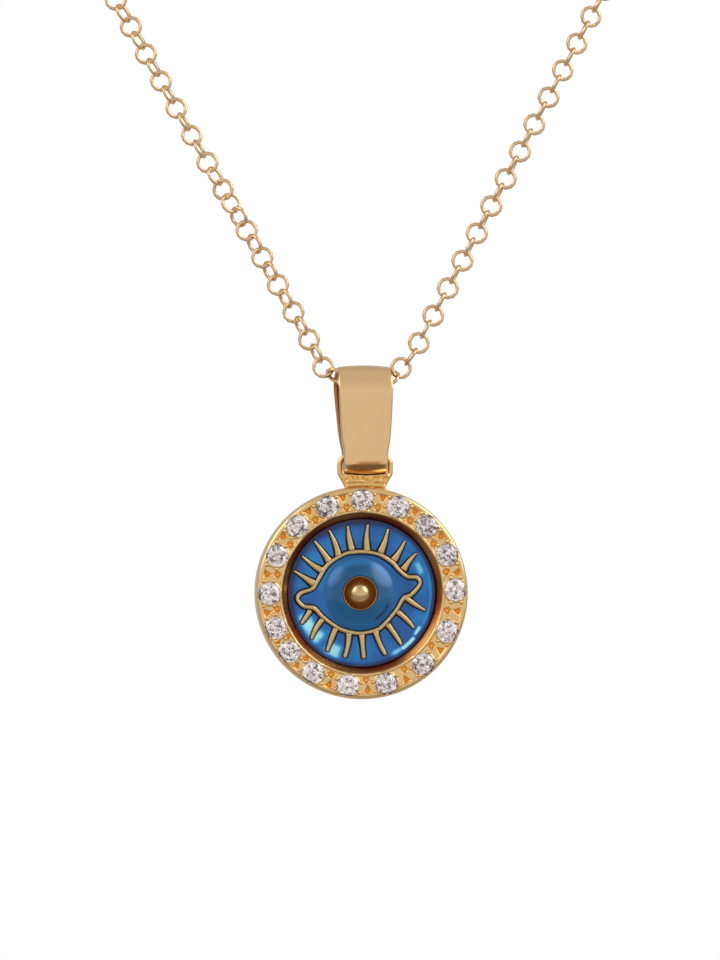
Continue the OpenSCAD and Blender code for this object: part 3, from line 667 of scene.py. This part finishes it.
def saddlePart():
    # Solder between the loop's legs. Rows run across it and columns round its section: the hollow over
    # it, an arc round the bar that is smaller beside the legs, then its back and its rippled front. Its
    # width follows the legs.
    look = saddleLook
    half, count = look["thick"] / 2, look["sideColumns"]
    y = np.linspace(-half, half, look["topColumns"])
    down = np.linspace(0, 1, count + 1)[1:]
    section = np.concatenate([y, np.full(count, half), np.full(count, -half)])
    between = np.linspace(-1, 1, look["rows"] + 2)[1:-1]
    share = np.concatenate([[-1, -1], between, [1, 1]])[:, None]
    aside = np.minimum(np.abs(share * look["legReach"]) / look["bailHalf"], look["mostAside"])
    radius = look["hollow"] - look["narrowing"] * aside ** 2
    top = -np.sqrt(radius ** 2 - y ** 2)
    backSide = top[:, -1:] + (look["foot"] - top[:, -1:]) * down
    frontSide = top[:, :1] + (look["foot"] - top[:, :1]) * down[::-1]
    z = np.concatenate([top, backSide, frontSide], axis=1)
    legs = np.array(legRows)
    x = share * np.interp(-z, -legs[:, 1], legs[:, 0])
    wave = np.sin(21 * z + 1.2 * np.sin(4.3 * x + 1) + 0.8 * np.sin(9 * x))
    lump = look["waveRise"] * wave + look["lumpRise"] * np.sin(11 * x + 5 * z)
    isFront = (section < 0) & (np.arange(len(section)) > look["topColumns"])
    points = np.stack([x, section - lump * isFront, z], axis=-1) + swingBar
    points[0] = points[0].mean(axis=0)
    points[-1] = points[-1].mean(axis=0)
    # painted shade: the front is darker in the ripples' troughs and lighter on their crests
    tone = isFront * np.clip(look["tone"] - look["waveTone"] * wave, 0, look["mostTone"])
    return gridPart(points, poles=(True, True), tone=tone)


def loopParts():
    # The loop: one bent wire through the bail, the solder saddle between its legs and two ridges at its
    # foot. The wire's right half is a bar, a quarter turn and the leg, and the left half mirrors it.
    look = settingLook
    half, bend = look["loopHalf"], look["loopBend"]
    arc = np.radians(np.linspace(0, 90, 12))
    right = [(half - bend + bend * math.sin(b), bend * math.cos(b) - bend) for b in arc] + legRows
    wire = smoothRoute([(-x, z) for x, z in right[::-1]] + right, 4)
    path = np.stack([wire[:, 0], 0 * wire[:, 0], wire[:, 1]], axis=-1) + swingBar
    parts = [tubeAlong(path, look["loopWire"] / 2, look["loopSides"]), saddlePart()]
    for z, radius, reach in look["ridges"]:
        x = np.linspace(-reach, reach, 24)
        y = 0.02 - saddleLook["thick"] / 2 + 0.015 * np.sin(4 * x + z)
        path = np.stack([x, y, z - 0.06 * (x / reach) ** 2], axis=-1) + swingBar
        parts.append(tubeAlong(path, radius, 12))
    return parts


def settingPiece(material):
    # A profile turned round the glass: the flat back, the round-edged wall, the stone face, whose height
    # changes round the disc too, the lip with its streaks of painted shade, and the cup that holds the glass.
    look = settingLook
    discR, thick, edgeR = look["discR"], look["thick"], look["edgeR"]
    bow = np.radians(np.linspace(0, 90, look["edgeRows"]))
    lip = np.array(lipRows)
    lipFoot = look["lipZ"] + look["lipEdge"]
    rows = [(r, 0) for r in look["backRows"]]
    rows += [(discR - edgeR + edgeR * math.sin(b), edgeR - edgeR * math.cos(b)) for b in bow]
    rows += [(discR, thick / 2)]
    rows += [(discR - edgeR + edgeR * math.cos(b), thick - edgeR + edgeR * math.sin(b)) for b in bow]
    rows += [(r, np.nan) for r in np.linspace(discR - edgeR - 0.01, rimR, look["channelRows"])]
    rows += [(rimR - look["lipW"] * share, thick - (thick - lipFoot) * share) for share in lip[:, 0]]
    rows += [(lipR, lipFoot), (lipR, look["lipZ"]), (look["cupR"], look["lipZ"] - look["lipOver"])]
    rows += [(look["cupR"], look["back"]), (2.5, look["back"]), (0, look["back"])]
    radius, plain = np.array(rows, float).T
    radii, angles = np.meshgrid(radius, turnSteps(look["columns"]), indexing="ij")
    cut, tone = channelHeight(radii, angles)
    isCut = np.isnan(plain)[:, None]
    height = np.where(isCut, cut, plain[:, None])
    tone = np.where(isCut, tone, 0)
    # painted shade down the lip in bands that waver round it, a little lighter away from the top
    down = (rimR - radii) / look["lipW"]
    streak = np.interp(down, lip[:, 0], lip[:, 1]) + 0.1 * np.sin(5 * angles + 2) * (down > 0.3)
    streak = streak - 0.04 * (1 - smoothStep(0.2, 0.9, np.sin(angles)))
    isLip = (down > 0.02) & (height > look["back"] + 0.1)
    tone = np.where(isLip, np.clip(streak, 0, 1), tone)
    disc = gridPart(onDisc(radii, angles, height), poles=(True, True), tone=tone)
    parts = [disc, grainsPart(), *loopParts()]
    return makePiece("setting_cut", parts, material, "pendant", ["setting"])


# The eye: the glass with its dome and its pit, the gilded lines, and the ball in its cup

eyeLook = {   # millimetres, with heights over the setting's back, and the tilt in degrees
    "shift": -0.14, "tilt": 8, "field": 1.55, "base": 0.65, "glassR": 4.45, "shoulder": 0.3,
    "fall": 0.05, "bevel": 0.05, "domeR": 2.0, "domeH": 0.8, "foot": 0.09, "columns": 480,
    "pitR": 1.02, "pitFloorR": 0.9, "pitSink": 0.05, "gap": 0.02, "ballR": 0.66, "ballRise": 0.159,
    "lidW": 0.38, "lashW": 0.56, "lineH": 0.2, "upperLashes": 9, "lowerLashWidth": 0.85,
    # irisTone is the iris's own tone; rimTone, rimSpan and rimLeast a painted highlight at its rim, most at
    # the top; streak a painted dark reflection
    "irisTone": 0.35, "rimTone": 0.65, "rimSpan": (1.5, 1.8), "rimLeast": 0.25, "irisEdge": (-0.05, 0.2),
    "streak": 1.2, "streakAngles": (302, 338, 5), "streakRadii": (1.68, 1.8, 0.04),
    "glass": {
        "drift": 0.07, "metal": (0.7, 0.2),
        "shader": {"Roughness": 0.24, "Specular IOR Level": 0.1, "Coat Weight": 0.75,
                   "Coat Roughness": 0.03, "Coat IOR": 1.5},
        "fieldStops": ((0, (0.03, 0.012, 0.035)), (0.22, (0.004, 0.035, 0.13)), (0.5, (0.008, 0.13, 0.42)),
                       (0.72, (0.02, 0.3, 0.68)), (1, (0.45, 0.92, 1.0))),
        "irisStops": ((0, (0.0, 0.03, 0.1)), (0.35, (0.004, 0.085, 0.22)), (1, (0.01, 0.16, 0.42))),
    },
    "gilding": {
        "colour": (0.76, 0.55, 0.27), "warmColour": (0.66, 0.45, 0.2),
        # deep and dark: painted shade at the lines' feet and in the pit
        "deep": (0.36, 0.2, 0.08), "dark": (0.012, 0.01, 0.012), "driftScale": 2500.0,
        "wearScale": 12000.0, "wearStretch": (1, 1, 1), "roughness": (0.18, 0.32), "bump": 0.12,
    },
}
lidRows = [   # angle round the dome, share of the way from the dome's foot to the field's edge
    (178, 0.70), (172, 0.61), (166, 0.30), (153, 0.21), (130, 0.19), (104, 0.17), (87, 0.16),
    (71, 0.17), (54, 0.21), (35, 0.25), (23, 0.27), (11, 0.40), (7, 0.63), (0, 0.67),
    (-9, 0.46), (-15, 0.25), (-34, 0.14), (-61, 0.13), (-74, 0.14), (-95, 0.13), (-114, 0.13),
    (-132, 0.15), (-156, 0.23), (-170, 0.34), (-175, 0.58)]
lashRows = [   # root angle, root share, tip angle, tip share, tip width against the root's
    (161, 0.27, 153, 0.91, 0.30), (141, 0.18, 139, 0.89, 0.30), (126, 0.20, 123, 0.91, 0.30),
    (112, 0.16, 108, 0.93, 0.30), (92, 0.19, 92, 0.87, 0.40), (71, 0.16, 75, 0.90, 0.40),
    (54, 0.24, 58, 0.93, 0.35), (35, 0.29, 41, 0.91, 0.30), (19, 0.36, 27, 0.92, 0.30),
    (-169, 0.43, -160, 0.81, 0.60), (-153, 0.25, -144, 0.84, 0.60), (-132, 0.17, -127, 0.84, 0.65),
    (-113, 0.14, -111, 0.82, 0.70), (-95, 0.14, -94, 0.81, 0.75), (-75, 0.13, -75, 0.85, 0.65),
    (-56, 0.16, -59, 0.84, 0.60), (-34, 0.17, -41, 0.79, 0.55), (-13, 0.27, -23, 0.88, 0.50)]
# the dark foot is painted shade along the line
lineRows = [   # share of half the line's width, share of its height, tone: 1 dark foot, 0 gold crest
    (1, 0.02, 1), (0.9, 0.1, 1), (0.8, 0.28, 0.95), (0.7, 0.52, 0.5), (0.52, 0.78, 0.3), (0.28, 0.95, 0.08),
    (0, 1, 0)]
# the cup's tone is painted shade in the pit
cupRows = [   # radius, height over its foot, 0 where the foot is the pit's floor and 1 its mouth, tone
    (0, 0, 0, 1), (0.88, 0, 0, 1), (0.98, -0.01, 1, 0.6), (0.96, 0, 1, 0.35), (0.93, -0.01, 1, 0.5),
    (0.9, -0.09, 1, 0.42), (0.82, 0.28, 0, 0.34), (0.74, 0.14, 0, 0.38), (0, 0.09, 0, 0.5)]
# painted reflections of the glass
fieldFlashes = [   # on the field: from and to angle, softness, from and to share, softness, added tone
    (100, 170, 20, 0.1, 0.6, 0.2, 0.1), (200, 230, 4, 0.5, 0.86, 0.12, 0.5),
    (238, 252, 3, 0.55, 0.9, 0.1, 0.4), (298, 308, 3, 0.8, 0.92, 0.05, 0.35),
    (308, 321, 1.5, 0.83, 0.92, 0.03, 0.75), (323, 331, 1.5, 0.8, 0.87, 0.03, 0.65),
    (16, 28, 3, 0.65, 0.8, 0.05, 0.3)]
eyeMiddle = discMiddle + np.array([eyeLook["shift"], 0, 0])


def onEye(x, z, height):
    # A place given flat round the middle of the eye, x to the right and z up, and height over the back.
    return np.stack([eyeMiddle[0] + x, backY - height, eyeMiddle[2] + z], axis=-1)


def turnedOnEye(radius, height, angle):
    # A profile of radius and height turned round the middle of the eye.
    return onEye(radius * np.cos(angle), radius * np.sin(angle), height + 0 * angle)


def domeSphere():
    # Radius and middle's height of the sphere whose cap is domeH high and domeR in radius.
    look = eyeLook
    sphereR = (look["domeR"] ** 2 + look["domeH"] ** 2) / (2 * look["domeH"])
    return sphereR, look["field"] + look["domeH"] - sphereR


def pitMouth():
    # Height at which the pit's wall meets the dome.
    sphereR, sphereZ = domeSphere()
    return sphereZ + math.sqrt(sphereR ** 2 - eyeLook["pitR"] ** 2)


def domeHeight(radius):
    # Height of the glass over the setting's back: a sphere that blends softly into the flat field, as
    # foot times the logarithm of one plus the exponential of their difference over foot.
    look = eyeLook
    sphereR, sphereZ = domeSphere()
    over = sphereZ + np.sqrt(np.maximum(sphereR ** 2 - radius ** 2, 0)) - look["field"]
    return look["field"] + look["foot"] * np.log1p(np.exp(np.clip(over / look["foot"], -30, 30)))


def onField(angle, share):
    # Flat place from an angle round the dome and a share of the way to the lip, with the eye's tilt.
    look = eyeLook
    radius = look["domeR"] + share * (lipR - 0.05 - look["domeR"])
    turn = np.radians(angle + look["tilt"])
    return np.stack([radius * np.cos(turn), radius * np.sin(turn)], axis=-1)


def fieldTone(share, angle):
    # Tone of the field: 0 dark at the lip, 0.5 blue, 1 pale cyan where painted reflections flash. Two slow
    # waves go round it, a painted shade lies right of the dome, the lip's painted shade is widest at the
    # upper left, and a painted glow lies along the lip at the right.
    degrees = np.degrees(angle) % 360
    tone = 0.5 + 0.05 * np.sin(3 * angle + 1) * share + 0.04 * np.sin(11 * angle) * share
    tone -= 0.14 * np.maximum(0, np.cos(angle - 0.15)) ** 8 * window(0.0, 0.5, 0.12, share)
    shade = 0.16 + 0.12 * window(70, 200, 25, degrees)
    tone -= 0.42 * smoothStep(1 - shade, 1.0, share)
    # painted glow along the lip on the right
    tone += 0.25 * np.maximum(0, np.cos(angle + 0.1)) ** 6 * window(0.86, 0.91, 0.02, share)
    for low, high, soft, inner, outer, edge, added in fieldFlashes:
        tone += added * window(low, high, soft, degrees) * window(inner, outer, edge, share)
    return np.clip(tone, 0, 1)


def irisTone(radius, angle):
    # Tone of the dome: a painted highlight brightens it towards its rim, most of all at the top, and one
    # painted dark reflection lies as a streak below.
    look = eyeLook
    streak = window(*look["streakAngles"], np.degrees(angle) % 360) * window(*look["streakRadii"], radius)
    above = look["rimLeast"] + (1 - look["rimLeast"]) * np.maximum(np.sin(angle), 0)
    bright = look["rimTone"] * smoothStep(*look["rimSpan"], radius) * above
    return np.clip(look["irisTone"] + bright - look["streak"] * streak, 0, 1)


def glassPiece(material):
    # Zones of rows run out from the pit: its floor and wall, the dome as part of a sphere, the field, the
    # rounded shoulder, and the edge with the flat back. The edge is round the disc's middle and the rest
    # round the eye's, so the edge's radius solves that circle for each angle.
    look = eyeLook
    angle = turnSteps(look["columns"])
    out = look["shift"] * np.cos(angle)
    edge = -out + np.sqrt(out ** 2 + look["glassR"] ** 2 - look["shift"] ** 2)
    floor = look["field"] - look["pitSink"]
    low = look["field"] - look["fall"]

    pit = np.array([(0, floor), (look["pitFloorR"], floor), (look["pitR"], pitMouth())])
    dome = np.concatenate([[1.03, 1.06, 1.1], np.linspace(1.15, 1.97, 34)])[:, None]
    share = np.concatenate([[0.004, 0.012], np.linspace(0.03, 1, 56)])[:, None]
    field = look["domeR"] + share * (edge - look["shoulder"] - look["domeR"])
    reach = (field - look["domeR"]) / (edge - settingLook["lipOver"] - look["domeR"])
    bow = np.radians(np.linspace(15, 90, 6))[:, None]
    ends = np.stack([edge, edge - look["bevel"], 0 * edge])
    base = np.array([look["base"] + look["bevel"], look["base"], look["base"]])[:, None]
    zones = [   # radius, height, tone
        (pit[:, :1], pit[:, 1:], 0),
        (dome, domeHeight(dome), irisTone(dome, angle)),
        (field, domeHeight(field) - look["fall"] * share ** 4, fieldTone(reach, angle)),
        (edge - look["shoulder"] * (1 - np.sin(bow)), low - look["shoulder"] * (1 - np.cos(bow)), 0),
        (ends, base, 0),
    ]
    radius, height, tone = (
        np.concatenate([np.broadcast_to(zone[k], (len(zone[0]), len(angle))) for zone in zones])
        for k in range(3))
    part = gridPart(turnedOnEye(radius, height, angle), poles=(True, True), tone=tone)
    piece = makePiece("eye_of_glass", [part], material, "pendant", ["glass"])
    places = np.empty(3 * len(piece.data.vertices), np.float32)
    piece.data.vertices.foreach_get("co", places)
    away = places.reshape(-1, 3)[:, [0, 2]] / mm - eyeMiddle[[0, 2]]
    inside, outside = look["irisEdge"]
    away = np.linalg.norm(away, axis=1) - look["domeR"]
    layer = piece.data.attributes.new("iris", "FLOAT", "POINT")
    layer.data.foreach_set("value", (1 - smoothStep(inside, outside, away)).astype(np.float32))
    return piece


def reliefLine(path, width, height, looped=False):
    # A raised line: across the path a dark foot of painted shade, steep sides and a rounded crest, sunk into
    # the glass.
    heading = headingsOf(path, looped)
    side = np.stack([-heading[:, 1], heading[:, 0]], axis=-1)
    half = np.array(lineRows)
    mirrored = half[-2::-1] * [-1, 1, 1]
    section = np.concatenate([half, mirrored, [(-0.5, -0.2, 1), (0, -0.2, 1), (0.5, -0.2, 1)]])
    flat = path[:, None] + side[:, None] * (section[:, 0] * width[:, None] / 2)[..., None]
    level = eyeLook["field"] + section[:, 1] * height[:, None]
    points = onEye(flat[..., 0], flat[..., 1], level)
    return gridPart(points, looped=looped, poles=(not looped, not looped), tone=section[:, 2])


def eyeLinesPiece(material):
    # The lid is a closed line. A lash narrows from its root, which flares into the lid, to its tip, and
    # bows a little to one side.
    look = eyeLook
    rows = np.array(lidRows, float)
    lid = smoothRoute(onField(rows[:, 0], rows[:, 1]), 10, looped=True)
    wave = 1 + 0.06 * np.sin(9 * turnSteps(len(lid)))
    parts = [reliefLine(lid, wave * look["lidW"], 0 * wave + look["lineH"], looped=True)]
    t = np.concatenate([[0, 0.01, 0.03], np.linspace(0.06, 0.94, 18), [0.97, 0.99, 1]])
    rounding = np.maximum(np.sqrt(np.clip(np.minimum(t, 1 - t) / 0.05, 0, 1)), 0.02)
    for i, (rootA, rootS, tipA, tipS, tipW) in enumerate(lashRows):
        root, tip = onField(np.array([rootA, tipA]), np.array([rootS, tipS]))
        aside = np.array([root[1] - tip[1], tip[0] - root[0]])
        bow = 0.045 * math.sin(1.7 * i) * np.sin(np.pi * t)
        path = root + (tip - root) * t[:, None] + aside * bow[:, None]
        rootW = look["lashW"] * (1 if i < look["upperLashes"] else look["lowerLashWidth"])
        taper = 1 - (1 - tipW) * t ** 1.3
        flare = 1 + 0.2 * np.exp(-t / 0.07) + 0.05 * np.sin(8 * t + i)
        parts.append(reliefLine(path, rootW * taper * flare * rounding,
                                look["lineH"] * (1 - 0.25 * t) * rounding))
    return makePiece("eye_relief", parts, material, "pendant", ["eye_lines"])


def pupilPiece(material):
    # The ball is a sphere on the pit's floor; the cup is the pit's lining. Both are turned round the eye.
    look = eyeLook
    floor = look["field"] - look["pitSink"] + look["gap"]
    mouth = pitMouth() - 2 * look["gap"]
    turn = turnSteps(64)
    bow = np.linspace(0, math.pi - 0.05, 26)[:, None]
    level = np.maximum(floor + look["ballRise"] + look["ballR"] * np.cos(bow), floor + 0.01)
    ball = turnedOnEye(look["ballR"] * np.sin(bow), level, turn)
    # the cup's tone is painted shade in the pit, darkest under the ball
    radius, rise, atMouth, tone = np.array(cupRows).T[..., None]
    cup = turnedOnEye(radius, np.where(atMouth > 0, mouth, floor) + rise, turn)
    parts = [gridPart(ball, poles=(True, True)), gridPart(cup, poles=(True, True), tone=tone)]
    return makePiece("pupil_ball", parts, material, "pendant", ["pupil"])


def glassMaterial():
    # Foil-backed blue glass: a blue metal sheen under a clear coat. Tone leads the field from dark painted
    # shade through blue to pale cyan painted reflections, and the iris from its dark ring to its rim, which
    # carries a painted highlight.
    look = eyeLook["glass"]
    material, nodes, links, shader = newMaterial("blueGlass")
    noise = noiseOn(nodes, links, 900.0)
    sway = nodes.new("ShaderNodeMath")
    links.new(attributeOf(nodes, "tone"), sway.inputs[0])
    links.new(rangeOf(nodes, links, noise, -look["drift"], look["drift"]), sway.inputs[1])
    field = rampOf(nodes, links, sway.outputs["Value"], look["fieldStops"]).outputs["Color"]
    iris = rampOf(nodes, links, sway.outputs["Value"], look["irisStops"]).outputs["Color"]
    isIris = attributeOf(nodes, "iris")
    links.new(mixColours(nodes, links, isIris, field, iris), shader.inputs["Base Color"])
    links.new(rangeOf(nodes, links, isIris, *look["metal"], 0, 1), shader.inputs["Metallic"])
    setInputs(shader, look["shader"])
    return material


def stoneMaterial():
    # A clear stone: sharp refraction, broken into small cells of one painted flash each, painted reflected
    # light from dark through rosy to nearly white, which most of them are.
    look = stoneLook
    material, nodes, links, shader = newMaterial("clearStone")
    place = nodes.new("ShaderNodeTexCoord")
    cells = nodes.new("ShaderNodeTexVoronoi")
    cells.inputs["Scale"].default_value = look["cells"]
    links.new(place.outputs["Object"], cells.inputs["Vector"])
    split = nodes.new("ShaderNodeSeparateColor")
    links.new(cells.outputs["Color"], split.inputs["Color"])
    flash = rampOf(nodes, links, split.outputs["Red"], look["flashes"])
    flash.color_ramp.interpolation = "CONSTANT"
    links.new(flash.outputs["Color"], shader.inputs["Base Color"])
    setInputs(shader, look["shader"])
    return material


# The studio: a bright tent seen by reflections, a white background, a pale floor and two softboxes

studioLook = {
    "bands": ((-180, 0.55), (-84, 0.55), (-76, 0.4), (-30, 0.4), (-24, 0.8), (2, 0.8), (50, 0.66),
              (100, 0.66), (125, 0.55), (180, 0.55)),   # degrees up from straight ahead, level
    "softbox": {-1: 1.5, 1: 2.4}, "softboxAt": (0.78, -0.24, 0.58), "softboxEdge": (28, 16),
    "background": 1.0, "floorZ": -0.235, "floorR": 0.6,   # level, metres
    "floorColours": ((0.86, 0.86, 0.85), (0.89, 0.89, 0.88)),
    "floorShader": {"Roughness": 0.7, "Emission Color": (1, 1, 1, 1), "Emission Strength": 0.3},
}
cameraLook = {   # degrees, millimetres
    "azimuth": -5.0, "distance": 400.0, "frameHeight": 54.86, "aim": (-0.29, -104.0, -140.6), "sensor": 36.0,
}


def studioWorld():
    # Light by direction. Its turn round X from straight ahead sets its level: bright ahead, dim below,
    # middling above and behind. Two soft patches lie high on the left and the right.
    look = studioLook
    world = bpy.data.worlds.new("studioWorld")
    bpy.context.scene.world = world
    world.use_nodes = True
    nodes, links = world.node_tree.nodes, world.node_tree.links
    place = nodes.new("ShaderNodeTexCoord")
    split = nodes.new("ShaderNodeSeparateXYZ")
    links.new(place.outputs["Generated"], split.inputs["Vector"])

    def maths(kind, first, second):
        # One step of arithmetic on two values, each a number or another node's output.
        node = nodes.new("ShaderNodeMath")
        node.operation = kind
        for socket, value in zip(node.inputs, (first, second)):
            if isinstance(value, float):
                socket.default_value = value
            else:
                links.new(value, socket)
        return node.outputs["Value"]

    turn = maths("ARCTAN2", split.outputs["Z"], maths("MULTIPLY", split.outputs["Y"], -1.0))
    share = maths("MULTIPLY", maths("ADD", turn, math.pi), 1 / (2 * math.pi))
    stops = [((degrees + 180) / 360, (level, level, level)) for degrees, level in look["bands"]]
    total = rampOf(nodes, links, share, stops).outputs["Color"]
    x, y, z = look["softboxAt"]
    outside, inside = (math.cos(math.radians(degrees)) for degrees in look["softboxEdge"])
    for side, level in look["softbox"].items():
        towards = nodes.new("ShaderNodeVectorMath")
        towards.operation = "DOT_PRODUCT"
        towards.inputs[1].default_value = unit(np.array([side * x, y, z]))
        links.new(place.outputs["Generated"], towards.inputs[0])
        patch = rangeOf(nodes, links, towards.outputs["Value"], 0, level, outside, inside)
        total = mixColours(nodes, links, 1.0, total, patch, "ADD")
    path = nodes.new("ShaderNodeLightPath")
    shown = mixColours(nodes, links, path.outputs["Is Camera Ray"], total, (look["background"],) * 3)
    links.new(shown, nodes["Background"].inputs["Color"])


def studioFloor():
    # A pale round floor that glows a little, so that it fades into the background.
    look = studioLook
    material, nodes, links, shader = newMaterial("paleFloor")
    speckle = rangeOf(nodes, links, noiseOn(nodes, links, 40.0, 3.0), 0, 1)
    links.new(mixColours(nodes, links, speckle, *look["floorColours"]), shader.inputs["Base Color"])
    setInputs(shader, look["floorShader"])
    turn = turnSteps(96)
    rim = np.stack([np.cos(turn), np.sin(turn), 0 * turn], axis=-1) * look["floorR"]
    mesh = bpy.data.meshes.new("floor")
    mesh.from_pydata((rim + [0, -0.05, look["floorZ"]]).tolist(), [], [list(range(len(turn)))])
    mesh.materials.append(material)
    floor = bpy.data.objects.new("floor", mesh)
    bpy.context.scene.collection.objects.link(floor)
    floor.visible_glossy = False   # polished metal mirrors the studio's bands, not the floor


def studioCamera():
    # The camera stands on the aim's level, a little to the left. Its lens is the sensor's width times the
    # distance over the frame's height, because the longer side of the picture spans the sensor.
    look = cameraLook
    turn = math.radians(look["azimuth"])
    back = np.array([math.sin(turn), -math.cos(turn), 0])
    data = bpy.data.cameras.new("camera")
    data.sensor_width = look["sensor"]
    data.lens = look["sensor"] * look["distance"] / look["frameHeight"]
    data.clip_start, data.clip_end = 0.01, 50.0
    camera = bpy.data.objects.new("camera", data)
    camera.location = (np.array(look["aim"]) + back * look["distance"]) * mm
    camera.rotation_euler = (math.pi / 2, 0, turn)
    bpy.context.scene.collection.objects.link(camera)
    bpy.context.scene.camera = camera


studioCamera()
studioWorld()
studioFloor()
bpy.context.scene.view_settings.view_transform = "Standard"
print("scene: studio ready")

linkGold = goldMaterial("linkGold", chainLook["finish"])
chainPiece(1, "chain_right", linkGold)
chainPiece(-1, "chain_left", linkGold)
claspPiece(linkGold)
print("scene: chain and clasp made")
bailPiece(goldMaterial("bailGold", bailLook["finish"]))
print("scene: bail made")
settingPiece(goldMaterial("settingGold", settingLook["finish"]))
print("scene: setting made")
glassPiece(glassMaterial())
gilding = goldMaterial("gilding", eyeLook["gilding"])
eyeLinesPiece(gilding)
pupilPiece(gilding)
print("scene: eye made")
clearStone = stoneMaterial()
for name in stoneNames:
    frame["nodes"][name].data.materials.clear()
    frame["nodes"][name].data.materials.append(clearStone)
print("scene: stones made")
